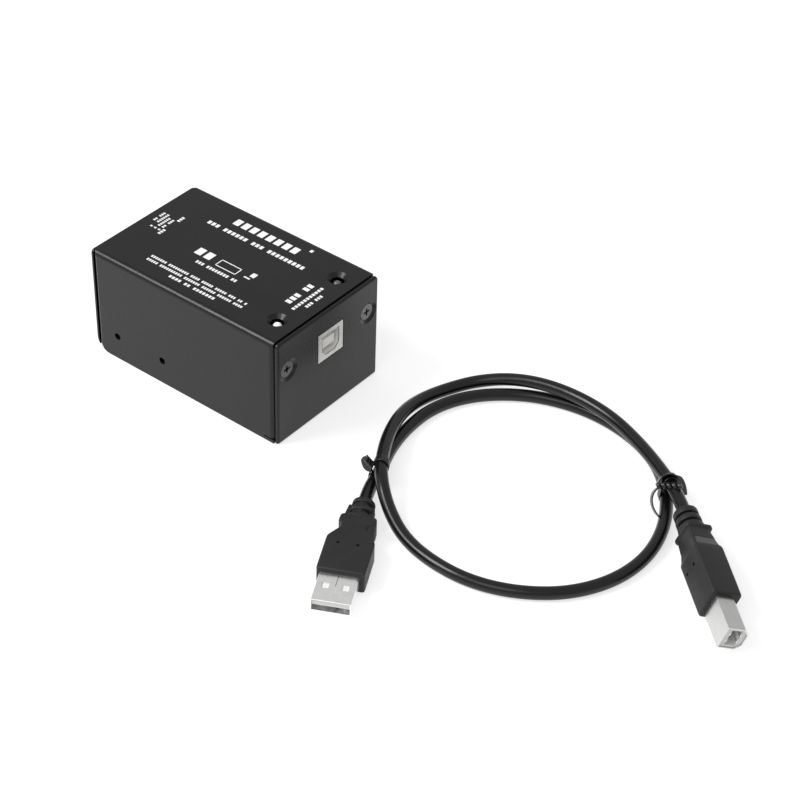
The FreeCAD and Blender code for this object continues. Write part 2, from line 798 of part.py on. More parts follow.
def socket_mouth(name, deep):
    """The room of the plug in the socket, from in front of it."""
    body = doc.addObject("PartDesign::Body", name)
    sketch = sketch_on(body, "XZ_Plane")
    mouth_outline(sketch, "mouth_width", "mouth_tall", "mouth_chamfer", True)
    pad(body, sketch, deep, back=True)
    return place(body, ("socket_side", f"{SOCKET_FRONT} - overrun", "socket_middle"))


def make_socket_shell():
    """The socket's folded metal shell with its mouth and its two legs through the board."""
    shell = block("socket_block", ("socket_side", f"{SOCKET_FRONT} + socket_deep / 2", "socket_middle"),
                  ("socket_width", "socket_deep", "socket_tall"))
    hollow = block("socket_hollow",
                   ("socket_side", f"{SOCKET_FRONT} + socket_deep / 2 + socket_skin", "socket_middle"),
                   ("socket_width - 2 * socket_skin", "socket_deep", "socket_tall - 2 * socket_skin"))
    legs = [
        block(f"socket_leg_{SIDE_NAMES[sign]}",
              (f"socket_side {sign} (socket_width / 2 - socket_skin / 2)",
               "socket_leg_station - case_length / 2", "(socket_middle + board_top + pin_out) / 2"),
              ("socket_skin", "socket_leg_width", "board_top + pin_out - socket_middle"))
        for sign in "-+"
    ]
    mouth = socket_mouth("socket_mouth", "socket_skin + 2 * overrun")
    skin = cut("socket_skin_cut", shell, [hollow, mouth])
    node("usb_socket_shell", fuse("usb_socket_shell", [skin] + legs))


def make_socket_body():
    """The socket's insulator, with the tongue that the plug slides over."""
    core = block("socket_core",
                 ("socket_side", f"{SOCKET_FRONT} + (socket_deep + {SOCKET_INSIDE}) / 2", "socket_middle"),
                 (f"socket_width - 2 * {SOCKET_INSIDE}", f"socket_deep - {SOCKET_INSIDE}",
                  f"socket_tall - 2 * {SOCKET_INSIDE}"))
    cavity = socket_mouth("socket_cavity", "mouth_deep + overrun")
    tongue = block("socket_tongue",
                   ("socket_side", f"{SOCKET_FRONT} + (mouth_deep + overrun + tongue_back) / 2",
                    "socket_middle"),
                   ("tongue_width", "mouth_deep + overrun - tongue_back", "tongue_thick"))
    node("usb_socket_body", fuse("usb_socket_body", [cut("socket_core_cut", core, [cavity]), tongue]))


def make_socket_contacts():
    """The socket's four contacts along the tongue and their tails up through the board."""
    contacts = [
        block(f"socket_strip_{SIDE_NAMES[side]}_{row}",
              (f"socket_side {side} socket_contact_pitch / 2",
               f"{SOCKET_FRONT} + (mouth_deep + 2 * tongue_back) / 2",
               f"socket_middle {sign} (tongue_thick + socket_contact_thick) / 2"),
              ("socket_contact_width", "mouth_deep - 2 * tongue_back", "socket_contact_thick"))
        for row, sign in enumerate("-+") for side in "-+"
    ]
    for k, (x_rule, y_rule) in enumerate(socket_pins()):
        sign = "-" if k in (1, 2) else "+"
        foot = f"socket_middle {sign} socket_contact_pitch / 2"
        upright = post(f"socket_tail_{k}", x_rule, y_rule, foot, "board_top + pin_out")
        reach = block(f"socket_reach_{k}", (x_rule, f"{y_rule} - pin_half", foot),
                      ("2 * pin_half", "2 * pin_half", "2 * pin_half"))
        contacts.append(fuse(f"socket_tail_bent_{k}", [upright, reach]))
    node("usb_socket_contacts", group("usb_socket_contacts", contacts))


INNER_FACE = "(case_length / 2 - sheet_wall)"
RING_FACE = "(case_length / 2 + xlr_ring_proud)"
BORE_FLOOR = f"({RING_FACE} - xlr_bore_deep)"
LATCH_FACE = f"({RING_FACE} + latch_proud)"


def output_contact_spots():
    """Rules for each contact of the output connector: across, its tail's place along, and its height."""
    return [
        (x_rule, y_rule, f"xlr_middle + pin_circle * {math.sin(math.radians(angle)):.6f}")
        for (x_rule, y_rule), angle in zip(output_pins(), CONTACT_ANGLES)
    ]


def make_output_housing():
    """The output connector's housing: block, ring, bore, latch slot, and holes for tails and screws."""
    housing = doc.addObject("PartDesign::Body", "xlr_block")
    half = "xlr_side / 2"
    pad(housing, rectangle(sketch_on(housing, "XZ_Plane", f"-{INNER_FACE}"), f"-{half}", half,
                           f"xlr_middle - {half}", f"xlr_middle + {half}"), "xlr_deep")
    round_edges(housing, "xlr_corner", lambda edge: runs_along(edge, Y_AXIS))
    ring = rod("xlr_ring", ("0", f"{INNER_FACE} - overrun", "xlr_middle"), "y", "xlr_ring_radius",
               "overrun + sheet_wall + xlr_ring_proud")
    slot_high = "(latch_high + latch_gap)"
    cutters = [
        rod("xlr_bore", ("0", BORE_FLOOR, "xlr_middle"), "y", "xlr_bore_radius", "xlr_bore_deep + overrun"),
        block("latch_slot",
              ("0", f"({BORE_FLOOR} + {RING_FACE} + overrun) / 2", f"xlr_middle + {slot_high} / 2"),
              ("latch_width + 2 * latch_gap", f"{RING_FACE} + overrun - {BORE_FLOOR}", slot_high)),
    ]
    for k, (x_rule, y_rule, z_rule) in enumerate(output_contact_spots()):
        cutters.append(rod(f"tail_hole_{k}", (x_rule, f"{BORE_FLOOR} - xlr_deep", z_rule), "y",
                           "contact_tail + contact_gap", "xlr_deep + overrun"))
    for k, (x_rule, z_rule) in enumerate(OUTPUT_SCREW_SPOTS):
        cutters.append(rod(f"xlr_pilot_{k}", (x_rule, f"{INNER_FACE} + sheet_wall", z_rule), "-y",
                           "xlr_screw_shank + contact_gap", "xlr_screw_length + sheet_wall"))
    node("xlr_housing", cut("xlr_housing", fuse("xlr_block_ring", [housing, ring]), cutters))


def make_output_contacts():
    """The output connector's contact carrier, and its three contacts with their bent tails."""
    start = f"{RING_FACE} - insert_back"
    disc = rod("insert_disc", ("0", BORE_FLOOR, "xlr_middle"), "y", "insert_radius",
               "xlr_bore_deep - insert_back")
    holes = []
    contacts = []
    for k, (x_rule, y_rule, z_rule) in enumerate(output_contact_spots()):
        holes.append(rod(f"insert_hole_{k}", (x_rule, f"{BORE_FLOOR} - overrun", z_rule), "y",
                         "contact_radius + contact_gap", "xlr_bore_deep + 2 * overrun"))
        sleeve = rod(f"contact_sleeve_{k}", (x_rule, start, z_rule), "-y", "contact_radius",
                     "contact_length")
        bore = rod(f"contact_bore_{k}", (x_rule, start, z_rule), "-y", "contact_bore",
                   "contact_length - overrun")
        tail = rod(f"contact_tail_{k}", (x_rule, y_rule, z_rule), "y", "contact_tail",
                   f"{start} - contact_length - {y_rule} + overrun / 2")
        upright = post(f"contact_post_{k}", x_rule, y_rule, z_rule, "board_top + pin_out")
        elbow = block(f"contact_elbow_{k}", (x_rule, y_rule, z_rule),
                      ("2 * pin_half", "2 * pin_half", "2 * contact_tail"))
        tube = cut(f"contact_tube_{k}", sleeve, [bore])
        contacts.append(fuse(f"contact_{k}", [tube, tail, elbow, upright]))
    node("xlr_insert", cut("xlr_insert", disc, holes))
    node("xlr_contacts", group("xlr_contacts", contacts))


def make_output_latch():
    """The output connector's release tab, with the tooth that holds a plug."""
    bar = block("latch_bar",
                ("0", f"{LATCH_FACE} - latch_length / 2", "xlr_middle + (latch_low + latch_high) / 2"),
                ("latch_width", "latch_length", "latch_high - latch_low"))
    tooth = block("latch_tooth",
                  ("0", f"{LATCH_FACE} - tooth_setback - tooth_length / 2",
                   "xlr_middle + latch_low - tooth_drop / 2 + latch_gap"),
                  ("tooth_width", "tooth_length", "tooth_drop"))
    node("xlr_latch", fuse("xlr_latch", [bar, tooth]))


def make_output_screws():
    """The two countersunk cross-head screws that hold the output connector."""
    screws = []
    for k, (x_rule, z_rule) in enumerate(OUTPUT_SCREW_SPOTS):
        spot = (x_rule, "case_length / 2", z_rule)
        head = taper(f"xlr_screw_head_{k}", spot, "-y", ("xlr_screw_head - head_gap", "xlr_screw_shank"),
                     "sheet_wall")
        shank = rod(f"xlr_screw_shank_{k}", spot, "-y", "xlr_screw_shank", "xlr_screw_length")
        recess = (x_rule, "case_length / 2 - xlr_recess_width / 2", z_rule)
        bars = [
            block(f"xlr_screw_bar_{k}_wide", recess,
                  ("xlr_recess_span", "xlr_recess_width", "xlr_recess_width")),
            block(f"xlr_screw_bar_{k}_tall", recess,
                  ("xlr_recess_width", "xlr_recess_width", "xlr_recess_span")),
        ]
        screws.append(cut(f"xlr_screw_{k}", fuse(f"xlr_screw_body_{k}", [head, shank]), bars))
    node("xlr_screws", group("xlr_screws", screws))


def make_latch_spring():
    """The return spring behind the latch: one wire wound round a straight axis."""
    floor = size.case_length / 2 + size.xlr_ring_proud - size.xlr_bore_deep
    seat = size.case_length / 2 + size.xlr_ring_proud + size.latch_proud - size.latch_length
    ends = size.spring_wire + size.latch_gap / 2
    height = seat - floor - 2 * ends
    coil = Part.makeHelix(height / size.spring_turns, height, size.spring_radius)
    start = VECTOR(size.spring_radius, 0, 0)
    section = Part.Wire([Part.Circle(start, VECTOR(0, 1, 0), size.spring_wire).toShape()])
    gap = least_gap(coil, 2 * size.spring_wire)
    print("latch spring least gap to itself", round(gap, 3), "wanted", LEAST_GAP)
    spring = doc.addObject("Part::Feature", "latch_spring")
    spring.Shape = Part.Wire(coil).makePipeShell([section], True, True)
    middle = size.xlr_middle + (size.latch_low + size.latch_high) / 2
    spring.Placement = FreeCAD.Placement(VECTOR(0, floor + ends, middle), TURNS["y"])
    node("latch_spring", spring)


def on_board(run, shares):
    """Rules for a place on the board, from its shares of the board's width and of a run along it."""
    start, stop = run
    return (f"board_width * {shares[0]}", f"{start} + ({stop} - {start}) * {shares[1]}")


def chip(name, run, shares, sides, lift="0"):
    """A rectangular part under the board: its width, length and thickness, and its gap to the board."""
    x_rule, y_rule = on_board(run, shares)
    return block(name, (x_rule, y_rule, f"board_under - {lift} - ({sides[2]}) / 2"), sides)


def side_leads(name, run, shares, half, pitch, count):
    """Rows of bent leads at the left and right flanks of a chip, each from the flank to the board."""
    x_rule, y_rule = on_board(run, shares)
    return [
        block(f"{name}_{SIDE_NAMES[side]}_{k}",
              (f"{x_rule} {side} ({half} + lead_reach / 2)", f"{y_rule} + {step} * {pitch}",
               "board_under - lead_thick"),
              ("lead_reach", "lead_width", "2 * lead_thick"))
        for side in "-+" for k, step in enumerate(centred(count))
    ]


def end_leads(name, run, shares, half, pitch, count):
    """Rows of bent leads at the near and far flanks of a chip."""
    x_rule, y_rule = on_board(run, shares)
    return [
        block(f"{name}_{END_NAMES[side]}_{k}",
              (f"{x_rule} + {step} * {pitch}", f"{y_rule} {side} ({half} + lead_reach / 2)",
               "board_under - lead_thick"),
              ("lead_width", "lead_reach", "2 * lead_thick"))
        for side in "-+" for k, step in enumerate(centred(count))
    ]


def make_chips():
    """The controller, the line driver, the optocouplers and the isolated supply, with their leads."""
    node("usb_controller", chip("usb_controller", MIDDLE_RUN, CONTROLLER_SHARES,
                                ("controller_side", "controller_side", "controller_thick"), "chip_lift"))
    node("line_driver", chip("line_driver", MIDDLE_RUN, DRIVER_SHARES,
                             ("driver_width", "driver_length", "driver_thick"), "chip_lift"))
    node("optocouplers", group("optocouplers", [
        chip(f"optocoupler_{k}", SIDE_RUN, shares, ("opto_width", "opto_length", "opto_thick"), "chip_lift")
        for k, shares in enumerate(OPTO_SHARES)
    ]))
    node("isolation_converter", chip("isolation_converter", SIDE_RUN, CONVERTER_SHARES,
                                     ("converter_width", "converter_length", "converter_tall")))
    legs = side_leads("controller_lead", MIDDLE_RUN, CONTROLLER_SHARES, "controller_side / 2",
                      "controller_pitch", CONTROLLER_LEADS)
    legs += end_leads("controller_lead", MIDDLE_RUN, CONTROLLER_SHARES, "controller_side / 2",
                      "controller_pitch", CONTROLLER_LEADS)
    legs += side_leads("driver_lead", MIDDLE_RUN, DRIVER_SHARES, "driver_width / 2", "driver_pitch",
                       DRIVER_LEADS)
    for k, shares in enumerate(OPTO_SHARES):
        legs += side_leads(f"opto_lead_{k}", SIDE_RUN, shares, "opto_width / 2", "opto_pitch",
                           OPTO_LEADS)
    node("chip_legs", group("chip_legs", legs))


def make_crystal():
    """The clock crystal's oval can."""
    straight = "(crystal_length - crystal_width)"
    x_rule, y_rule = on_board(MIDDLE_RUN, CRYSTAL_SHARES)
    middle = chip("crystal_middle", MIDDLE_RUN, CRYSTAL_SHARES,
                  (straight, "crystal_width", "crystal_thick"))
    ends = [
        rod(f"crystal_end_{SIDE_NAMES[sign]}", (f"{x_rule} {sign} {straight} / 2", y_rule, "board_under"),
            "-z", "crystal_width / 2", "crystal_thick")
        for sign in "-+"
    ]
    node("clock_crystal", fuse("clock_crystal", [middle] + ends))


def make_cans():
    """The two electrolytic capacitors, each with the groove that crimps its can."""
    cans = []
    for k, shares in enumerate(CAN_SHARES):
        x_rule, y_rule = on_board(SIDE_RUN, shares)
        can = rod(f"can_{k}", (x_rule, y_rule, "board_under"), "-z", "can_radius", "can_tall")
        groove = doc.addObject("Part::Torus", f"can_groove_{k}")
        bind(groove, "Radius1", "can_radius + can_groove")
        bind(groove, "Radius2", "2 * can_groove")
        place(groove, (x_rule, y_rule, "board_under - 4 * can_groove"))
        cans.append(cut(f"can_shaped_{k}", can, [groove]))
    node("electrolytic_capacitors", group("electrolytic_capacitors", cans))


def make_small_parts():
    """The ceramic capacitors, the chip resistors and the resettable fuse."""
    for label, sides, middle_shares, side_shares in (
        ("ceramic_capacitors", ("capacitor_width", "capacitor_length", "capacitor_thick"),
         MIDDLE_CAPACITOR_SHARES, SIDE_CAPACITOR_SHARES),
        ("chip_resistors", ("resistor_length", "resistor_width", "resistor_thick"),
         MIDDLE_RESISTOR_SHARES, SIDE_RESISTOR_SHARES),
    ):
        pieces = [
            chip(f"{label}_middle_{k}", MIDDLE_RUN, shares, sides) for k, shares in enumerate(middle_shares)
        ]
        pieces += [
            chip(f"{label}_side_{k}", SIDE_RUN, shares, sides) for k, shares in enumerate(side_shares)
        ]
        node(label, group(label, pieces))
    node("resettable_fuse", chip("resettable_fuse", SIDE_RUN, FUSE_SHARES,
                                 ("fuse_width", "fuse_length", "fuse_thick")))


def cord_path(points):
    """Straight runs joined by arcs, each arc as large as its two runs allow."""
    points = [VECTOR(*point) for point in points]
    edges = []
    radii = []
    start = points[0]
    for before, corner, after in zip(points, points[1:], points[2:]):
        back = (before - corner).normalize()
        ahead = (after - corner).normalize()
        turn = math.pi - back.getAngle(ahead)
        reach = ARC_SHARE * min((before - corner).Length, (after - corner).Length)
        radius = reach / math.tan(turn / 2)
        first = corner + back * reach
        last = corner + ahead * reach
        inward = (back + ahead).normalize()
        middle = corner + inward * (radius / math.cos(turn / 2) - radius)
        edges.append(Part.LineSegment(start, first).toShape())
        edges.append(Part.Arc(first, middle, last).toShape())
        radii.append(radius)
        start = last
    edges.append(Part.LineSegment(start, points[-1]).toShape())
    return Part.Wire(edges), radii


def make_cord():
    """The lead's cord: one unbroken tube along its route."""
    path, radii = cord_path(CORD_ROUTE)
    radius = size.cord_diameter / 2
    start = VECTOR(*CORD_ROUTE[0])
    ahead = VECTOR(*CORD_ROUTE[1]) - start
    section = Part.Wire([Part.Circle(start, ahead, radius).toShape()])
    cord = doc.addObject("Part::Feature", "usb_cord")
    cord.Shape = path.makePipeShell([section], True, False)
    node("usb_cord", cord)
    straight_volume = math.pi * radius ** 2 * path.Length
    print("cord length", round(path.Length, 1))
    print("cord volume against section times length", round(cord.Shape.Volume / straight_volume, 4))
    print("cord radii", [round(value, 1) for value in radii])
    print("cord least gap to itself", round(least_gap(path, size.cord_diameter), 2), "wanted", LEAST_GAP)
    print("cord lowest point", round(cord.Shape.BoundBox.ZMin, 3))
    return path


def least_gap(path, width):
    """The least gap between two stretches of a wound piece that aren't neighbours, from points on it."""
    apart = int(STRETCH_SHARE / STEP_SHARE)
    points = path.discretize(Distance=width * STEP_SHARE)
    return min(
        first.distanceToPoint(second)
        for k, first in enumerate(points)
        for second in points[k + apart:]
    ) - width


def plug_place(end, yaw, pitch, roll):
    """The plug's own frame: its origin where the cord enters it, its X axis towards its mouth."""
    return FreeCAD.Placement(VECTOR(*end), FreeCAD.Rotation(yaw, pitch, roll))


def put(item, frame):
    item.Placement = frame
    return item


def upright_slab(name, start, length, half_across, half_up, edge):
    """A slab of a plug's body: a rounded rectangle across, carried along the plug's axis."""
    body = doc.addObject("PartDesign::Body", name)
    sketch = sketch_on(body, "YZ_Plane", start)
    rectangle(sketch, f"-({half_across})", half_across, f"-({half_up})", half_up)
    pad(body, sketch, length)
    round_edges(body, edge, lambda item: runs_along(item, X_AXIS))
    return body


FLAT_NECK = "(flat_relief + flat_wing_length)"
FLAT_SHOULDER = f"({FLAT_NECK} + flat_neck_length)"
FLAT_WIDE = f"({FLAT_SHOULDER} + flat_shoulder)"
FLAT_FRONT = f"({FLAT_WIDE} + flat_body_length)"
FLAT_SHELL_START = f"({FLAT_FRONT} - shell_grip)"
FLAT_SHELL_REACH = "(shell_grip + flat_shell_length)"


def flat_plan():
    """The flat plug's main slab, from its neck over the shoulder to the front."""
    plan = doc.addObject("PartDesign::Body", "flat_plan")
    corners = [
        (FLAT_FRONT, "-(flat_body_half - flat_edge / 4)"), (FLAT_FRONT, "flat_body_half - flat_edge / 4"),
        (FLAT_WIDE, "flat_body_half"), (FLAT_SHOULDER, "flat_neck_half"), (FLAT_NECK, "flat_neck_half"),
        (FLAT_NECK, "-flat_neck_half"), (FLAT_SHOULDER, "-flat_neck_half"), (FLAT_WIDE, "-flat_body_half"),
    ]
    pad(plan, outline(sketch_on(plan, "XY_Plane"), corners), "flat_body_thick", middle=True)
    half_thick = size.flat_body_thick / 2
    neck_end = size.flat_relief + size.flat_wing_length + size.flat_neck_length
    round_edges(plan, "flat_edge", lambda edge: same(abs(edge.CenterOfMass.z), half_thick)
                and edge.CenterOfMass.x > neck_end)
    return plan


def flat_wing():
    """The flat plug's rear wing, which narrows to the neck."""
    tail = upright_slab("flat_wing", "flat_relief", "flat_wing_length + flat_neck_length", "flat_wing_half",
                        "flat_wing_thick / 2", "flat_edge")
    trim = [
        block(f"flat_wing_trim_{SIDE_NAMES[sign]}",
              (f"{FLAT_NECK} + flat_neck_length / 2 + overrun / 2",
               f"{sign}(flat_neck_half + flat_wing_half / 2)", "0"),
              ("flat_neck_length + overrun", "flat_wing_half", "2 * flat_body_thick"))
        for sign in "-+"
    ]
    return cut("flat_wing_cut", tail, trim)


def flat_ring(k):
    """One oval ring of the flat plug's strain relief: two round slices and what lies between them."""
    share = f"{k} / (flat_ring_count - 1)"
    start = f"((flat_relief - flat_ring_width) * {share})"
    spread = f"(flat_ring_spread * {share})"
    radius = f"(flat_relief_end + (flat_ring_radius - flat_relief_end) * {share})"
    pieces = [
        rod(f"flat_ring_{k}_{SIDE_NAMES[sign]}", (start, f"{sign}{spread}", "0"), "x", radius,
            "flat_ring_width")
        for sign in "-+"
    ]
    if k:
        pieces.append(block(f"flat_ring_{k}_middle", (f"{start} + flat_ring_width / 2", "0", "0"),
                            ("flat_ring_width", f"2 * {spread}", f"2 * {radius}")))
    return pieces


def make_flat_body(frame):
    """The flat plug's moulded body, with its pits and the seat of the shell."""
    solids = [flat_plan(), flat_wing(),
              taper("flat_relief_core", ("0", "0", "0"), "x", ("flat_relief_end", "flat_relief_radius"),
                    "flat_relief")]
    for k in range(int(size.flat_ring_count)):
        solids += flat_ring(k)
    dimples = [
        rod(f"flat_dimple_{SIDE_NAMES[sign]}",
            (f"{FLAT_FRONT} + flat_shell_length - flat_dimple_back", f"{sign}flat_dimple_offset",
             "flat_body_thick / 2 - dimple_depth"), "z", "dimple_radius", "dimple_depth + overrun")
        for sign in "-+"
    ]
    seat = block("flat_shell_seat", (f"{FLAT_FRONT} - shell_grip / 2 + overrun / 2", "0", "0"),
                 ("shell_grip + overrun", "flat_shell_width + 2 * plug_gap",
                  "flat_shell_thick + 2 * plug_gap"))
    solid = fuse("flat_plug_solid", solids)
    node("flat_plug_body", put(cut("flat_plug_body", solid, dimples + [seat]), frame))


def make_flat_shell(frame):
    """The flat plug's metal shell with its two square windows through both faces."""
    shell = upright_slab("flat_shell_block", FLAT_SHELL_START, FLAT_SHELL_REACH, "flat_shell_width / 2",
                         "flat_shell_thick / 2", "2 * shell_skin")
    hollow = upright_slab("flat_shell_hollow", f"{FLAT_SHELL_START} - overrun",
                          f"{FLAT_SHELL_REACH} + 2 * overrun", "flat_shell_width / 2 - shell_skin",
                          "flat_shell_thick / 2 - shell_skin", "shell_skin")
    windows = [
        block(f"flat_window_{SIDE_NAMES[sign]}",
              (f"{FLAT_FRONT} + flat_shell_length - window_back", f"{sign}window_offset", "0"),
              ("window_side", "window_side", "2 * flat_shell_thick"))
        for sign in "-+"
    ]
    node("flat_plug_shell", put(cut("flat_plug_shell", shell, [hollow] + windows), frame))


def make_flat_tongue(frame):
    """The flat plug's tongue under the shell's upper face, its heel, and the contacts below it."""
    half_tall = "(flat_shell_thick / 2 - shell_skin - plug_gap)"
    filler = upright_slab("flat_tongue_block", FLAT_SHELL_START, f"{FLAT_SHELL_REACH} - flat_tongue_back",
                          "flat_shell_width / 2 - shell_skin - plug_gap", half_tall, "shell_skin")
    room = block("flat_tongue_room",
                 (f"{FLAT_FRONT} + (flat_shell_length + overrun) / 2", "0",
                  "-(flat_tongue_thick + overrun) / 2"),
                 ("flat_shell_length + overrun", "flat_shell_width",
                  f"2 * {half_tall} - flat_tongue_thick + overrun"))
    node("flat_plug_tongue", put(cut("flat_plug_tongue", filler, [room]), frame))
    strips = [
        block(f"flat_contact_{k}",
              (f"({FLAT_FRONT} + {FLAT_FRONT} + flat_shell_length - 2 * flat_tongue_back) / 2", y_rule,
               f"{half_tall} - flat_tongue_thick - plug_contact_thick / 2"),
              ("flat_shell_length - 4 * flat_tongue_back", "flat_contact_width", "plug_contact_thick"))
        for k, y_rule in enumerate(("-flat_contact_outer", "-flat_contact_inner", "flat_contact_inner",
                                    "flat_contact_outer"))
    ]
    node("flat_plug_contacts", put(group("flat_plug_contacts", strips), frame))


def make_flat_plug():
    """The flat plug: moulded body with rear wing and ringed strain relief, shell, tongue and contacts."""
    frame = plug_place(CORD_ROUTE[0], size.flat_yaw, size.flat_pitch, size.flat_roll)
    make_flat_body(frame)
    make_flat_shell(frame)
    make_flat_tongue(frame)


SQUARE_NECK = "(square_relief + square_wing_length)"
SQUARE_WIDE = f"({SQUARE_NECK} + square_neck_length)"
SQUARE_FRONT = f"({SQUARE_WIDE} + square_body_length)"
SQUARE_SHELL_START = f"({SQUARE_FRONT} - shell_grip)"
SQUARE_SHELL_REACH = "(shell_grip + square_shell_length)"
SQUARE_MOUTH = f"({SQUARE_FRONT} + square_shell_length)"


def square_throat():
    """The square plug's neck, which widens towards the body."""
    throat = doc.addObject("PartDesign::Body", "square_throat")
    corners = [
        (SQUARE_NECK, "-square_neck_half"), (SQUARE_WIDE, "-square_body_half"),
        (SQUARE_WIDE, "square_body_half"), (SQUARE_NECK, "square_neck_half"),
    ]
    pad(throat, outline(sketch_on(throat, "XY_Plane"), corners), "2 * square_neck_tall", middle=True)
    round_edges(throat, "square_edge / 2", lambda edge: not runs_along(edge, Y_AXIS)
                and same(abs(edge.CenterOfMass.z), size.square_neck_tall))
    return throat


def square_rings():
    """The round rings of the square plug's strain relief, wider towards the body."""
    rings = []
    for k in range(int(size.square_ring_count)):
        share = f"{k} / (square_ring_count - 1)"
        start = f"(square_relief - square_ring_width) * {share}"
        radius = f"square_ring_end + (square_ring_radius - square_ring_end) * {share}"
        rings.append(rod(f"square_ring_{k}", (start, "0", "0"), "x", radius, "square_ring_width"))
    return rings


def square_cutters():
    """The square plug's pits, the recessed band of its neck and the seat of its shell."""
    dimples = [
        rod(f"square_dimple_{END_NAMES[sign]}",
            (f"{SQUARE_MOUTH} - square_dimple_back", "dimple_depth - square_body_half",
             f"{sign}square_dimple_offset"), "-y", "dimple_radius", "dimple_depth + overrun")
        for sign in "-+"
    ]
    band = [
        block(f"square_band_{END_NAMES[sign]}",
              (f"{SQUARE_NECK} + square_band_start + square_band_length / 2", "0",
               f"{sign}(square_neck_tall + square_body_half - square_band_step)"),
              ("square_band_length", "4 * square_body_half", "2 * square_body_half"))
        for sign in "-+"
    ]
    seat = block("square_shell_seat", (f"{SQUARE_FRONT} - shell_grip / 2 + overrun / 2", "0", "0"),
                 ("shell_grip + overrun", "square_shell_width + 2 * plug_gap",
                  "square_shell_tall + 2 * plug_gap"))
    return dimples + band + [seat]


def make_square_body(frame):
    """The square plug's moulded body, from the ringed relief and the flange to the front."""
    main = upright_slab("square_main", SQUARE_WIDE, "square_body_length", "square_body_half",
                        "square_body_tall", "square_edge")
    flange = upright_slab("square_wing", "square_relief", "square_wing_length", "square_wing_half",
                          "square_wing_half", "square_edge")
    core = taper("square_relief_core", ("0", "0", "0"), "x", ("square_relief_end", "square_relief_radius"),
                 "square_relief")
    solid = fuse("square_plug_solid", [main, square_throat(), flange, core] + square_rings())
    node("square_plug_body", put(cut("square_plug_body", solid, square_cutters()), frame))


def square_section(name, start, length, trim):
    """A length of the shell's section turned on its side, its two cut corners towards +Y."""
    body = doc.addObject("PartDesign::Body", name)
    half = f"(square_shell_width / 2 - ({trim}))"
    tall = f"(square_shell_tall / 2 - ({trim}))"
    nick = "square_shell_chamfer"
    sketch = outline(sketch_on(body, "YZ_Plane", start), [
        (f"-{half}", f"-{tall}"), (f"{half} - {nick}", f"-{tall}"), (half, f"{nick} - {tall}"),
        (half, f"{tall} - {nick}"), (f"{half} - {nick}", tall), (f"-{half}", tall),
    ])
    pad(body, sketch, length)
    return body


def make_square_front(frame):
    """The square plug's metal shell, the insert in it, and the contacts along the insert's slot."""
    shell = square_section("square_shell_block", SQUARE_SHELL_START, SQUARE_SHELL_REACH, "0")
    hollow = square_section("square_shell_hollow", f"{SQUARE_SHELL_START} - overrun",
                            f"{SQUARE_SHELL_REACH} + 2 * overrun", "shell_skin")
    node("square_plug_shell", put(cut("square_plug_shell", shell, [hollow]), frame))
    filler = square_section("square_insert_block", SQUARE_SHELL_START,
                            f"{SQUARE_SHELL_REACH} - square_insert_back", "shell_skin + plug_gap")
    slot = block("square_slot", (f"{SQUARE_MOUTH} - square_slot_deep / 2", "0", "0"),
                 ("square_slot_deep", "square_slot_tall", "square_slot_width"))
    node("square_plug_insert", put(cut("square_plug_insert", filler, [slot]), frame))
    strips = [
        block(f"square_contact_{SIDE_NAMES[side]}_{END_NAMES[end]}",
              (f"{SQUARE_MOUTH} - square_slot_deep / 2 - square_insert_back / 2",
               f"{side}(square_slot_tall - plug_contact_thick) / 2", f"{end}square_contact_pitch / 2"),
              ("square_slot_deep - square_insert_back", "plug_contact_thick", "square_contact_width"))
        for side in "-+" for end in "-+"
    ]
    node("square_plug_contacts", put(group("square_plug_contacts", strips), frame))


def make_square_plug():
    """The square plug, lying on its side."""
    frame = plug_place(CORD_ROUTE[-1], size.square_yaw, size.square_pitch, size.square_roll)
    make_square_body(frame)
    make_square_front(frame)


def strands_at(path, x, y):
    """The lower and the upper strand where two stretches of the cord pass one place."""
    points = path.discretize(Distance=size.cord_diameter * STEP_SHARE)
    half = len(points) // 2
    spot = VECTOR(x, y, 0)

    def distance(k):
        return VECTOR(points[k].x, points[k].y, 0).distanceToPoint(spot)

    def nearest(first, last):
        index = min(range(first, last), key=distance)
        return points[index], (points[index + 1] - points[index - 1]).normalize()

    return sorted((nearest(1, half), nearest(half, len(points) - 1)), key=lambda strand: strand[0].z)


def tie_frame(path, x, y):
    """A tie's frame: its middle, the cord's direction, the way up through both strands, and aside."""
    (low, low_way), (high, high_way) = strands_at(path, x, y)
    if low_way.dot(high_way) < 0:
        high_way = high_way * -1
    along = (low_way + high_way).normalize()
    stack = high - low
    up = (stack - along * stack.dot(along)).normalize()
    return (low + high) * 0.5, along, up, up.cross(along).normalize(), stack.dot(up) / 2


def stadium(frame, half, radius):
    """A flat oval round both strands, as long as the tie is wide."""
    middle, along, up, aside, reach = frame
    top = middle + up * reach
    foot = middle - up * reach
    edges = [
        Part.Arc(top + aside * radius, top + up * radius, top - aside * radius).toShape(),
        Part.LineSegment(top - aside * radius, foot - aside * radius).toShape(),
        Part.Arc(foot - aside * radius, foot - up * radius, foot + aside * radius).toShape(),
        Part.LineSegment(foot + aside * radius, top + aside * radius).toShape(),
    ]
    face = Part.Face(Part.Wire(edges))
    face.translate(along * -half)
    return face.extrude(along * (2 * half))


def tie_band(frame):
    inner = size.cord_diameter / 2 + size.tie_clear
    half = size.tie_width / 2
    return stadium(frame, half, inner + size.tie_thick).cut(stadium(frame, half + size.overrun, inner))


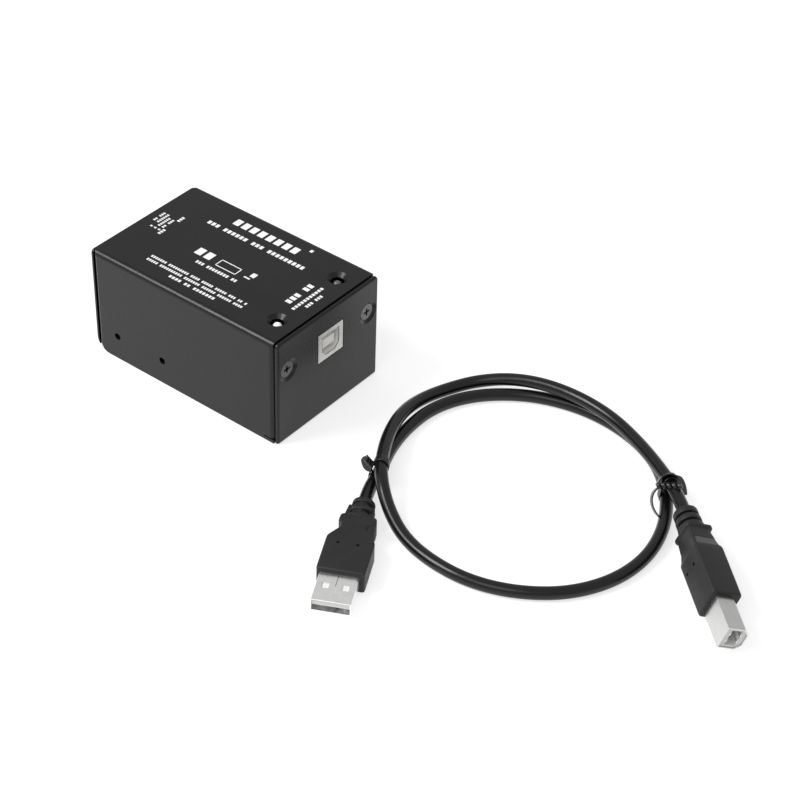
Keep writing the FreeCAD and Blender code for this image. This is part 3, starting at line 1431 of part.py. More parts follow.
def tie_knot(frame, side, lift):
    """The twisted end: a stub beside the band with two turns standing proud of it."""
    middle, along, up, aside, reach = frame
    out = aside * side
    root = middle + up * lift + out * (size.cord_diameter / 2 + size.tie_clear + size.tie_thick / 2)
    way = (out + up * KNOT_RISE_SHARE).normalize()
    knot = Part.makeCylinder(size.knot_radius, size.knot_length, root, way)
    for share in KNOT_SHARES:
        spot = root + way * (size.knot_length * share)
        knot = knot.fuse(Part.makeTorus(size.knot_radius, size.knot_twist, spot, way))
    return knot


def ribbon(centre, first, second, radius, start, stop, width_way, width):
    """A strip of the tie bent along an arc; the angles run from the first direction to the second."""
    def rim(distance, angle):
        return centre + first * (distance * math.cos(angle)) + second * (distance * math.sin(angle))

    outer = radius + size.tie_thick
    half = (start + stop) / 2
    edges = [
        Part.Arc(rim(radius, start), rim(radius, half), rim(radius, stop)).toShape(),
        Part.LineSegment(rim(radius, stop), rim(outer, stop)).toShape(),
        Part.Arc(rim(outer, stop), rim(outer, half), rim(outer, start)).toShape(),
        Part.LineSegment(rim(outer, start), rim(radius, start)).toShape(),
    ]
    face = Part.Face(Part.Wire(edges))
    face.translate(width_way * (-width / 2))
    return face.extrude(width_way * width)


def cord_room(path, middle):
    """The room that the cord takes near one place, with the tie's clearance: a tube for each edge."""
    radius = size.cord_diameter / 2 + size.tie_clear
    spot = Part.Vertex(middle)
    tubes = []
    for edge in path.Edges:
        if edge.distToShape(spot)[0] < size.hoop_chord + size.tie_width:
            start = edge.valueAt(edge.FirstParameter)
            section = Part.Wire([Part.Circle(start, edge.tangentAt(edge.FirstParameter), radius).toShape()])
            tubes.append(Part.Wire([edge]).makePipeShell([section], True, False))
    return tubes


def tie_tail(frame):
    """The free end that arches over the strands."""
    middle, along, up, aside, reach = frame
    outside = size.cord_diameter / 2 + size.tie_clear
    crown = middle + up * (reach + outside)
    centre = crown + aside * (size.tail_radius - outside) - up * size.tail_radius
    return ribbon(centre, aside * -1, up, size.tail_radius, math.radians(size.tail_start),
                  math.radians(size.tail_stop), along, size.tie_width)


def tie_hoop(frame):
    """The free loop beside the strands, turned to run along the lower one."""
    middle, along, up, aside, reach = frame
    lean = math.radians(size.hoop_lean)
    ahead = along * math.cos(lean) - aside * math.sin(lean)
    out = aside * -math.cos(lean) - along * math.sin(lean)
    chord = size.hoop_chord / 2
    bend = (chord ** 2 + size.hoop_bulge ** 2) / (2 * size.hoop_bulge)
    spread = math.asin(chord / bend)
    root = middle - aside * (size.cord_diameter / 2 + size.tie_clear) - up * size.hoop_drop
    centre = root + ahead * chord + out * (size.hoop_bulge - bend)
    return ribbon(centre, out, ahead, bend, -spread, spread, up, size.tie_width)


def make_tie(label, path, spot, side, loose_ends):
    """One tie: its band, and its twisted and loose ends cut clear of the cord."""
    frame = tie_frame(path, *spot)
    ends = tie_knot(frame, side, frame[-1] if loose_ends else 0)
    for loose_end in loose_ends:
        ends = ends.fuse(loose_end(frame))
    tie = doc.addObject("Part::Feature", label)
    tie.Shape = tie_band(frame).fuse(ends.cut(cord_room(path, frame[0])))
    node(label, tie)


def make_ties(path):
    """The two twist ties that hold the loop."""
    make_tie("left_tie", path, (size.left_tie_x, size.left_tie_y), 1, ())
    make_tie("right_tie", path, (size.right_tie_x, size.right_tie_y), -1, (tie_tail, tie_hoop))


def check_all():
    """Stops before anything is written if any object failed or any sub-part isn't sound."""
    doc.recompute()
    failed = [item.Name for item in doc.Objects if {"Invalid", "Error"} & set(item.State)]
    if failed:
        raise RuntimeError(f"objects that failed: {failed}")
    for item in nodes:
        if item.Shape.isNull() or not item.Shape.isValid() or not item.Shape.Solids:
            raise RuntimeError(f"sub-part that isn't sound: {item.Label}")


def write_all():
    os.makedirs("parts", exist_ok=True)
    for item in nodes:
        item.Shape.exportStep(os.path.join("parts", f"{item.Label}.step"))
        box = item.Shape.BoundBox
        print(item.Label, len(item.Shape.Solids), "solids", round(item.Shape.Volume, 2), "mm3",
              [round(value, 2) for value in (box.XMin, box.YMin, box.ZMin, box.XMax, box.YMax, box.ZMax)])


make_cover()
make_tray()
make_panel_screws()
make_board()
make_lamp("power_lamp", "-")
make_lamp("data_lamp", "+")
make_socket_shell()
make_socket_body()
make_socket_contacts()
make_output_housing()
make_output_contacts()
make_output_latch()
make_output_screws()
make_latch_spring()
make_chips()
make_crystal()
make_cans()
make_small_parts()
cord_line = make_cord()
make_flat_plug()
make_square_plug()
make_ties(cord_line)
check_all()
write_all()
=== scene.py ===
import logging
import math
from dataclasses import dataclass, field, replace
from enum import Enum

import bpy
import numpy as np
from bpy.types import Material, Mesh, NodeSocket, NodeTree, Object
from mathutils import Matrix, Vector


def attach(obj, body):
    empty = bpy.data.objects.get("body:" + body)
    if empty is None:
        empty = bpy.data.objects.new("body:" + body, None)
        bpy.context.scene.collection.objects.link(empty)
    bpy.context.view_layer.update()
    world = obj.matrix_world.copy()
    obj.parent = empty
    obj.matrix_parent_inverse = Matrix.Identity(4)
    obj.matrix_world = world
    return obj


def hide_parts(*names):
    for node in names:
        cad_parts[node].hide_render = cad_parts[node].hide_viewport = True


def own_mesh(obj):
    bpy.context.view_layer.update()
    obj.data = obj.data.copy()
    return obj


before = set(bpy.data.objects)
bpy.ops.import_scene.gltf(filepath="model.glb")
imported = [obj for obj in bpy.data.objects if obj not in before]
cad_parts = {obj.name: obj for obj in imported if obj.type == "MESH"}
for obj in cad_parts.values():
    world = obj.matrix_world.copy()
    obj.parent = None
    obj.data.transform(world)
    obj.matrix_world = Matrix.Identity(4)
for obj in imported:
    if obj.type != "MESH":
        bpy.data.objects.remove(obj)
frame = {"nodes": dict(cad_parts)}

Triple = tuple[float, float, float]
LOG = logging.getLogger("lighting_box")
MM = 0.001
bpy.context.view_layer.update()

# Finishes: a noise's octaves and usual range, change of gloss, drawn stretch, depths in a grain
NOISE_DETAIL = 3
NOISE_MIDDLE = (0.3, 0.7)
GLOSS_SPREAD = 0.1
DRAWN_STRETCH = 14.0
DEPTHS_PER_GRAIN = 3

# The mix node's colour sockets
MIX_FIRST, MIX_SECOND, MIX_RESULT = 6, 7, 2

# Steps of a ring's rim and of its oval's corners
RIM_STEPS, OVAL_STEPS = 5, 9

# A ribbon's section: its points, and the powers that square it off
RIBBON_POINTS = 20
RIBBON_POWERS = (0.35, 0.5)

# Edges that turn by more than this many degrees stay crisp
CRISP = 40.0

# The cord's route in metres: out of the flat plug, round the loop and into the square plug
CORD_ROUTE = (
    (-0.0319, -0.0807, 0.0040), (-0.0260, -0.0777, 0.0040), (-0.0186, -0.0750, 0.00295),
    (-0.0120, -0.0722, 0.0022), (-0.0034, -0.0689, 0.0021), (0.0075, -0.0669, 0.0021),
    (0.0195, -0.0670, 0.0021), (0.0310, -0.0714, 0.0021), (0.0406, -0.0798, 0.0021),
    (0.0478, -0.0910, 0.0021), (0.0516, -0.1050, 0.0021), (0.0510, -0.1200, 0.0021),
    (0.0454, -0.1350, 0.0027), (0.0352, -0.1470, 0.0031), (0.0212, -0.1558, 0.0025),
    (0.0060, -0.1594, 0.0021), (-0.0090, -0.1574, 0.0021), (-0.0222, -0.1500, 0.0021),
    (-0.0316, -0.1384, 0.0021), (-0.0368, -0.1252, 0.0021), (-0.0374, -0.1114, 0.0021),
    (-0.0346, -0.0984, 0.0021), (-0.0290, -0.0876, 0.0044), (-0.0226, -0.0796, 0.0080),
    (-0.0134, -0.0730, 0.0080), (-0.0028, -0.0674, 0.0071), (0.0086, -0.0635, 0.0058),
    (0.0204, -0.0621, 0.0032), (0.0314, -0.0650, 0.0023), (0.0398, -0.0708, 0.0034),
    (0.0454, -0.0800, 0.0056), (0.0487, -0.0912, 0.0070), (0.0501, -0.1040, 0.0071),
    (0.0484, -0.1172, 0.0072), (0.0436, -0.1298, 0.0074), (0.0371, -0.1421, 0.0079),
    (0.02983, -0.15354, 0.00824), (0.0237, -0.1604, 0.0079),
)


class Body(Enum):
    """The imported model's rigid bodies, which every piece rides on."""

    BOX = "box"
    LATCH = "latch"
    LEAD = "lead"


class Grain(Enum):
    """The kinds of fine relief that a finish can have."""

    PEBBLE = "pebble"
    SATIN = "satin"
    DRAWN = "drawn"


@dataclass(frozen=True)
class Finish:
    """One surface finish: its colour, gloss, fine relief and slow variation; sizes in metres."""

    name: str
    colour: Triple
    roughness: float
    grain: Grain = Grain.SATIN
    metallic: float = 0.0
    specular: float = 0.5
    grain_size: float = 0.0005
    relief: float = 0.1
    mottle: float = 0.1
    mottle_size: float = 0.006
    glow: float = 0.0

    @staticmethod
    def _noise(tree: NodeTree, size: float, stretch: float = 1.0) -> NodeSocket:
        """Adds a noise whose features are about one size.

        Args:
            tree: The material's node tree.
            size: Width of a feature in metres.
            stretch: How many times more often the pattern repeats along Z.

        Returns:
            The output that holds the noise.
        """
        place = tree.nodes.new("ShaderNodeTexCoord")
        turn = tree.nodes.new("ShaderNodeMapping")
        turn.inputs["Scale"].default_value = (1.0, 1.0, stretch)
        noise = tree.nodes.new("ShaderNodeTexNoise")
        noise.inputs["Scale"].default_value = 1 / size
        noise.inputs["Detail"].default_value = NOISE_DETAIL
        tree.links.new(place.outputs["Object"], turn.inputs["Vector"])
        tree.links.new(turn.outputs["Vector"], noise.inputs["Vector"])
        return noise.outputs["Fac"]

    @staticmethod
    def _range(tree: NodeTree, source: NodeSocket, low: float,
               high: float) -> NodeSocket:
        """Spreads a noise's middle range over two values.

        Args:
            tree: The material's node tree.
            source: The noise's output.
            low: Value where the noise is low.
            high: Value where the noise is high.

        Returns:
            The output with the spread values.
        """
        spread = tree.nodes.new("ShaderNodeMapRange")
        names = ("From Min", "From Max", "To Min", "To Max")
        for name, value in zip(names, (*NOISE_MIDDLE, low, high)):
            spread.inputs[name].default_value = value
        tree.links.new(source, spread.inputs["Value"])
        return spread.outputs["Result"]

    def _height(self, tree: NodeTree) -> NodeSocket:
        """Makes the fine relief's height, as its grain asks.

        Args:
            tree: The material's node tree.

        Returns:
            The output that holds the height.
        """
        if self.grain is Grain.DRAWN:
            return self._noise(tree, self.grain_size, DRAWN_STRETCH)
        fine = self._noise(tree, self.grain_size)
        if self.grain is Grain.SATIN:
            return fine
        cells = tree.nodes.new("ShaderNodeTexVoronoi")
        cells.feature = "SMOOTH_F1"
        cells.inputs["Scale"].default_value = 1 / self.grain_size
        place = tree.nodes.new("ShaderNodeTexCoord")
        tree.links.new(place.outputs["Object"], cells.inputs["Vector"])
        both = tree.nodes.new("ShaderNodeMath")
        both.operation = "ADD"
        tree.links.new(fine, both.inputs[0])
        tree.links.new(cells.outputs["Distance"], both.inputs[1])
        return both.outputs["Value"]

    def material(self) -> Material:
        """Builds the finish once and gives it back on later calls.

        Returns:
            The material.
        """
        known = bpy.data.materials.get(self.name)
        if known:
            return known
        made = bpy.data.materials.new(self.name)
        made.use_nodes = True
        tree = made.node_tree
        shader = tree.nodes["Principled BSDF"]
        slow = self._noise(tree, self.mottle_size)
        blend = tree.nodes.new("ShaderNodeMix")
        blend.data_type = "RGBA"
        for socket, change in ((MIX_FIRST, -self.mottle), (MIX_SECOND, self.mottle)):
            shade = (min(1.0, part * (1 + change)) for part in self.colour)
            blend.inputs[socket].default_value = (*shade, 1)
        tree.links.new(self._range(tree, slow, 0.0, 1.0), blend.inputs["Factor"])
        tree.links.new(blend.outputs[MIX_RESULT], shader.inputs["Base Color"])
        ends = [self.roughness * (1 + change) for change in (-GLOSS_SPREAD, GLOSS_SPREAD)]
        tree.links.new(self._range(tree, slow, *ends), shader.inputs["Roughness"])
        shader.inputs["Metallic"].default_value = self.metallic
        shader.inputs["Specular IOR Level"].default_value = self.specular
        if self.glow:
            shader.inputs["Emission Color"].default_value = (1, 1, 1, 1)
            shader.inputs["Emission Strength"].default_value = self.glow
        bump = tree.nodes.new("ShaderNodeBump")
        bump.inputs["Strength"].default_value = self.relief
        bump.inputs["Distance"].default_value = self.grain_size / DEPTHS_PER_GRAIN
        tree.links.new(self._height(tree), bump.inputs["Height"])
        tree.links.new(bump.outputs["Normal"], shader.inputs["Normal"])
        return made


POWDER_COAT = Finish("satin_powder_coat", (0.006, 0.006, 0.0062), 0.28, Grain.PEBBLE,
                     specular=0.32, relief=0.12, mottle=0.15, mottle_size=0.012)
DARK_ZINC = Finish("dark_plated_screw", (0.13, 0.13, 0.13), 0.25, metallic=1.0, mottle=0.25,
                   mottle_size=0.0008, grain_size=0.0002)
NICKEL = Finish("nickel_plate", (0.95, 0.95, 0.94), 0.3, Grain.DRAWN, metallic=1.0, relief=0.02,
                mottle=0.04, mottle_size=0.002, grain_size=0.00025)
# A darker copy of the nickel, as painted shade: the square plug's shell and the socket's shell take
# it so they read darker than the flat plug's shell.
SHADED_NICKEL = replace(NICKEL, name="shaded_nickel_plate", colour=(0.66, 0.66, 0.65))
GOLD_FLASH = Finish("gold_flash", (0.85, 0.68, 0.36), 0.25, Grain.DRAWN, metallic=1.0,
                    relief=0.04, mottle=0.05, mottle_size=0.001, grain_size=0.0002)
TIN = Finish("tinned_lead", (0.62, 0.62, 0.64), 0.35, metallic=1.0, mottle_size=0.0006)
BRIGHT_WIRE = Finish("bright_wire", (0.5, 0.5, 0.5), 0.25, metallic=1.0, mottle=0.05,
                     mottle_size=0.0006)
# A white insulator that is partly painted light: its colour is lifted above the plugs' insulator to
# stand in for light that the socket's recess does not get.
IVORY = Finish("ivory_insulator", (0.95, 0.95, 0.93), 0.4, relief=0.05, mottle=0.03,
               mottle_size=0.003)
PALE_INSULATOR = replace(IVORY, name="pale_insulator", colour=(0.8, 0.8, 0.79))
MOULDED_BLACK = Finish("moulded_connector", (0.014, 0.014, 0.014), 0.42, Grain.PEBBLE,
                       grain_size=0.0003, mottle_size=0.004)
CORD_JACKET = Finish("cord_jacket", (0.004, 0.004, 0.004), 0.24, relief=0.05,
                     grain_size=0.0004, specular=0.4, mottle=0.15)
PLUG_VINYL = Finish("moulded_plug_vinyl", (0.012, 0.012, 0.012), 0.5, Grain.PEBBLE, relief=0.16,
                    specular=0.4, grain_size=0.0003, mottle=0.12, mottle_size=0.003)
# Lighter grey than the plug's vinyl as painted sheen: the grip band's gloss is put in its colour,
# not in its roughness.
GRIP_SHEEN_BAND = Finish("grip_band_painted_sheen", (0.062, 0.062, 0.062), 0.5, Grain.PEBBLE,
                   grain_size=0.0003, mottle_size=0.003)
SEAM_SHADE = Finish("seam_shade", (0.12, 0.12, 0.12), 0.5, metallic=0.6, relief=0.05,
                    grain_size=0.0002, mottle_size=0.001)
TIE_VINYL = Finish("coated_tie", (0.005, 0.005, 0.005), 0.3, relief=0.12, mottle=0.2,
                   mottle_size=0.003)
WHITE_PRINT = Finish("white_print", (0.86, 0.86, 0.86), 0.6, relief=0.03, grain_size=0.0002,
                     mottle=0.02, mottle_size=0.002)
LIT_RESIN = Finish("lit_resin", (0.9, 0.9, 0.88), 0.2, mottle=0.02, mottle_size=0.001, glow=0.2)
CLEAR_RESIN = Finish("clear_resin", (0.12, 0.12, 0.12), 0.15, mottle=0.08, mottle_size=0.001)
SOLDER_RESIST = Finish("solder_resist", (0.015, 0.13, 0.045), 0.3, relief=0.08,
                       grain_size=0.0008, mottle=0.12, mottle_size=0.002)
CHIP_BLACK = Finish("chip_moulding", (0.02, 0.02, 0.021), 0.6, Grain.PEBBLE, relief=0.08,
                    grain_size=0.0002, mottle_size=0.002)
CHIP_WHITE = Finish("white_moulding", (0.74, 0.74, 0.71), 0.55, relief=0.05, grain_size=0.0002,
                    mottle=0.04, mottle_size=0.002)
CAN_SLEEVE = Finish("can_aluminium", (0.55, 0.55, 0.58), 0.35, Grain.DRAWN, metallic=1.0,
                    relief=0.05, mottle=0.05, mottle_size=0.002, grain_size=0.0003)
TAN_CERAMIC = Finish("tan_ceramic", (0.42, 0.3, 0.18), 0.45, relief=0.06, grain_size=0.0002,
                     mottle=0.08, mottle_size=0.0008)
BLACK_GLAZE = Finish("black_glaze", (0.02, 0.02, 0.02), 0.3, relief=0.05, grain_size=0.0002,
                     mottle_size=0.0008)
FUSE_GREEN = Finish("fuse_moulding", (0.03, 0.15, 0.08), 0.5, relief=0.05, grain_size=0.0002,
                    mottle_size=0.001)


@dataclass(frozen=True)
class Skin:
    """A closed surface: its points in millimetres and its faces as rows of point numbers."""

    points: np.ndarray
    quads: np.ndarray
    triangles: np.ndarray

    def outward(self) -> "Skin":
        """Turns every face over if the enclosed volume comes out negative.

        The volume is a sixth of the sum, over all triangles, of the first corner times the cross
        product of the other two.

        Returns:
            The skin with its faces pointing out.
        """
        split = np.vstack([self.quads[:, [0, 1, 2]], self.quads[:, [0, 2, 3]], self.triangles])
        centred = self.points - self.points.mean(0)
        first, second, third = (centred[split[:, k]] for k in range(3))
        if np.einsum("ij,ij->", first, np.cross(second, third)) < 0:
            return Skin(self.points, self.quads[:, ::-1], self.triangles[:, ::-1])
        return self

    def joined(self, *others: "Skin") -> "Skin":
        """Puts several skins into one, each still closed by itself.

        Args:
            *others: The skins to add.

        Returns:
            The joined skin.
        """
        points, quads, triangles = [self.points], [self.quads], [self.triangles]
        for other in others:
            start = sum(len(part) for part in points)
            points.append(other.points)
            quads.append(other.quads + start)
            triangles.append(other.triangles + start)
        return Skin(np.vstack(points), np.vstack(quads), np.vstack(triangles))

    def carried(self, turn: np.ndarray, place: np.ndarray) -> "Skin":
        """Turns the points by a rotation matrix and moves them to a place."""
        return Skin(self.points @ turn.T + place, self.quads, self.triangles)

    def fill(self, mesh: Mesh) -> None:
        """Gives a mesh the skin's faces and its points, in metres."""
        faces = self.quads.tolist() + self.triangles.tolist()
        mesh.from_pydata((self.points * MM).tolist(), [], faces)


def placed(made: Object) -> Object:
    """Adds an object to the scene and gives it back."""
    bpy.context.scene.collection.objects.link(made)
    return made


def lattice(rows: int, columns: int, wrap: bool) -> np.ndarray:
    """Numbers the quads of a grid whose columns close on themselves.

    Args:
        rows: How many rings the grid has.
        columns: How many points each ring has.
        wrap: Whether the last ring joins the first.

    Returns:
        One row of four point numbers for each quad.
    """
    row = np.arange(rows if wrap else rows - 1)[:, None]
    column = np.arange(columns)[None, :]
    after = (row + 1) % rows * columns
    ahead = (column + 1) % columns
    corners = (row * columns + column, row * columns + ahead, after + ahead, after + column)
    return np.stack(corners, -1).reshape(-1, 4)


def closed_tube(rings: np.ndarray) -> Skin:
    """Skins a run of rings and closes each end with a fan about the end ring's mean point.

    Args:
        rings: Points of shape (rings, points in a ring, 3).

    Returns:
        The closed skin, facing out.
    """
    rows, columns, _ = rings.shape
    points = np.vstack([rings.reshape(-1, 3), rings[0].mean(0), rings[-1].mean(0)])
    here = np.arange(columns)
    ahead = (here + 1) % columns
    last = (rows - 1) * columns
    near = np.stack([ahead, here, np.full(columns, rows * columns)], -1)
    far = np.stack([last + here, last + ahead, np.full(columns, rows * columns + 1)], -1)
    return Skin(points, lattice(rows, columns, False), np.vstack([near, far])).outward()


def closed_band(rings: np.ndarray) -> Skin:
    """Skins rings that run round and meet again, such as a tie's band."""
    rows, columns, _ = rings.shape
    return Skin(rings.reshape(-1, 3), lattice(rows, columns, True), np.zeros((0, 3), int)).outward()


def lofted(stations: np.ndarray, per_corner: int = 6) -> Skin:
    """Skins the rounded rectangles that stand across the X axis at each station.

    At angle t in a corner the point is the corner's centre, which stands in from the sides by the
    corner's radius, plus that radius times (cos t, sin t).

    Args:
        stations: A row for each section: x, middle y and z, half width, half height, corner radius.
        per_corner: How many points each corner's quarter circle has.

    Returns:
        The closed skin.
    """
    x, y, z, across, up, corner = (column[:, None] for column in stations.T)
    quarter = np.linspace(0, math.pi / 2, per_corner)
    turn = np.concatenate([quarter + k * math.pi / 2 for k in range(4)])[None, :]
    side = np.repeat([1, -1, -1, 1], per_corner)[None, :]
    top = np.repeat([1, 1, -1, -1], per_corner)[None, :]
    wide = y + side * (across - corner) + corner * np.cos(turn)
    tall = z + top * (up - corner) + corner * np.sin(turn)
    return closed_tube(np.stack([np.broadcast_to(x, wide.shape), wide, tall], -1))


def revolved(profile: np.ndarray, count: int = 40) -> Skin:
    """Turns a profile about the X axis: each point goes round a circle of its radius.

    Args:
        profile: One row of (along, radius) for each ring.
        count: How many points each ring has.

    Returns:
        The closed skin.
    """
    turn = np.linspace(0, math.tau, count, endpoint=False)[None, :]
    along = np.broadcast_to(profile[:, :1], (len(profile), count))
    rings = np.stack([along, profile[:, 1:] * np.cos(turn), profile[:, 1:] * np.sin(turn)], -1)
    return closed_tube(rings)


def soft_ring(start: float, width: float, across: float, up: float, edge: float = 0.35) -> Skin:
    """A ring of a strain relief: an oval slab whose two rims are rounded over.

    Args:
        start: Where the ring starts along the plug.
        width: How wide the ring is along the plug.
        across: Half of its width.
        up: Half of its height.
        edge: Radius of the rounded rims.

    Returns:
        The ring's skin.
    """
    roll = np.linspace(0, math.pi / 2, RIM_STEPS)
    into = edge * (1 - np.sin(roll))
    rise = start + edge * (1 - np.cos(roll))
    x = np.concatenate([rise, start + start + width - rise[::-1]])
    inset = np.concatenate([into, into[::-1]])
    flat = np.zeros_like(x)
    half_up = up - inset
    stations = np.stack([x, flat, flat, across - inset, half_up, half_up], -1)
    return lofted(stations, OVAL_STEPS)


def ribbon(path: np.ndarray, side: np.ndarray, width: float, thick: float, closed: bool) -> Skin:
    """Carries a flat rounded section along a path.

    The section lies in the plane of the side direction and the path's own normal, which is the
    cross product of the path's direction and the side direction.

    Args:
        path: Points of the ribbon's middle line.
        side: The direction of the ribbon's width, one for the path or one at each point.
        width: Width of the ribbon.
        thick: Thickness of the ribbon.
        closed: Whether the path meets itself.

    Returns:
        The ribbon's skin.
    """
    ahead = np.roll(path, -1, 0) - np.roll(path, 1, 0) if closed else np.gradient(path, axis=0)
    ahead /= np.linalg.norm(ahead, axis=1, keepdims=True)
    side = np.broadcast_to(side, path.shape)
    side = side - ahead * np.einsum("ij,ij->i", ahead, side)[:, None]
    side /= np.linalg.norm(side, axis=1, keepdims=True)
    out = np.cross(ahead, side)
    turn = np.linspace(0, math.tau, RIBBON_POINTS, endpoint=False)[None, :, None]
    wide, tall = (np.sign(wave) * np.abs(wave) ** power * size / 2 for wave, power, size in
                  zip((np.cos(turn), np.sin(turn)), RIBBON_POWERS, (width, thick)))
    rings = path[:, None] + side[:, None] * wide + out[:, None] * tall
    return closed_band(rings) if closed else closed_tube(rings)


def bezier(corners: tuple[np.ndarray, ...], count: int) -> np.ndarray:
    """Samples one smooth curve of four corners.

    Each point is the sum of the corners times (1-t)^3, 3t(1-t)^2, 3t^2(1-t) and t^3.

    Args:
        corners: The curve's four corners.
        count: How many points to take.

    Returns:
        The points along the curve.
    """
    t = np.linspace(0, 1, count)[:, None]
    first, second, third, fourth = corners
    return (first * (1 - t) ** 3 + second * 3 * t * (1 - t) ** 2
            + third * 3 * t ** 2 * (1 - t) + fourth * t ** 3)


@dataclass
class Workshop:
    """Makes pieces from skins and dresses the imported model's own nodes."""

    nodes: dict[str, Object]

    def piece(self, name: str, skin: Skin, finish: Finish, body: Body, slot: str,
              replaces: tuple[str, ...] = (), sharp: float = CRISP) -> Object:
        """Makes one dressed piece that rides on a body.

        Args:
            name: The piece's name.
            skin: Its closed surface, in millimetres.
            finish: Its finish.
            body: The body that carries it.
            slot: Not used.
            replaces: The nodes that it stands for.
            sharp: Edges that turn by more than this many degrees stay crisp.

        Returns:
            The piece's object.
        """
        mesh = bpy.data.meshes.new(name)
        skin.fill(mesh)
        mesh.polygons.foreach_set("use_smooth", np.ones(len(mesh.polygons), bool))
        mesh.set_sharp_from_angle(angle=math.radians(sharp))
        mesh.update()
        made = placed(bpy.data.objects.new(name, mesh))
        made.data.materials.append(finish.material())
        self.mount(made, body, slot, replaces)
        return made

    def mount(self, made: Object, body: Body, slot: str, replaces: tuple[str, ...]) -> None:
        """Sets a piece on its body and hides the nodes that it stands for.

        Args:
            made: The piece.
            body: The body that carries it.
            slot: Not used.
            replaces: The nodes that it stands for.
        """
        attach(made, body.value)
        if replaces:
            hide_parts(*replaces)
        LOG.info("piece %s on %s", made.name, body.value)

    def carve(self, target: Object, cutter: Skin) -> None:
        """Cuts a skin's space out of a piece.

        Args:
            target: The piece to cut.
            cutter: The closed surface of what is taken away, in millimetres.
        """
        mesh = bpy.data.meshes.new("cutter")
        cutter.fill(mesh)
        tool = placed(bpy.data.objects.new("cutter", mesh))
        cut = target.modifiers.new("cut", "BOOLEAN")
        cut.operation = "DIFFERENCE"
        cut.solver = "EXACT"
        cut.object = tool
        graph = bpy.context.evaluated_depsgraph_get()
        result = bpy.data.meshes.new_from_object(target.evaluated_get(graph))
        target.modifiers.remove(cut)
        old = target.data
        target.data = result
        bpy.data.meshes.remove(old)
        bpy.data.objects.remove(tool)
        bpy.data.meshes.remove(mesh)

    def dress(self, finish: Finish, *names: str) -> None:
        """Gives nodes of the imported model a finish.

        Args:
            finish: The finish.
            *names: The nodes' names.
        """
        for name in names:
            for holder in self.nodes[name].material_slots:
                holder.material = finish.material()
            LOG.info("node %s dressed as %s", name, finish.name)


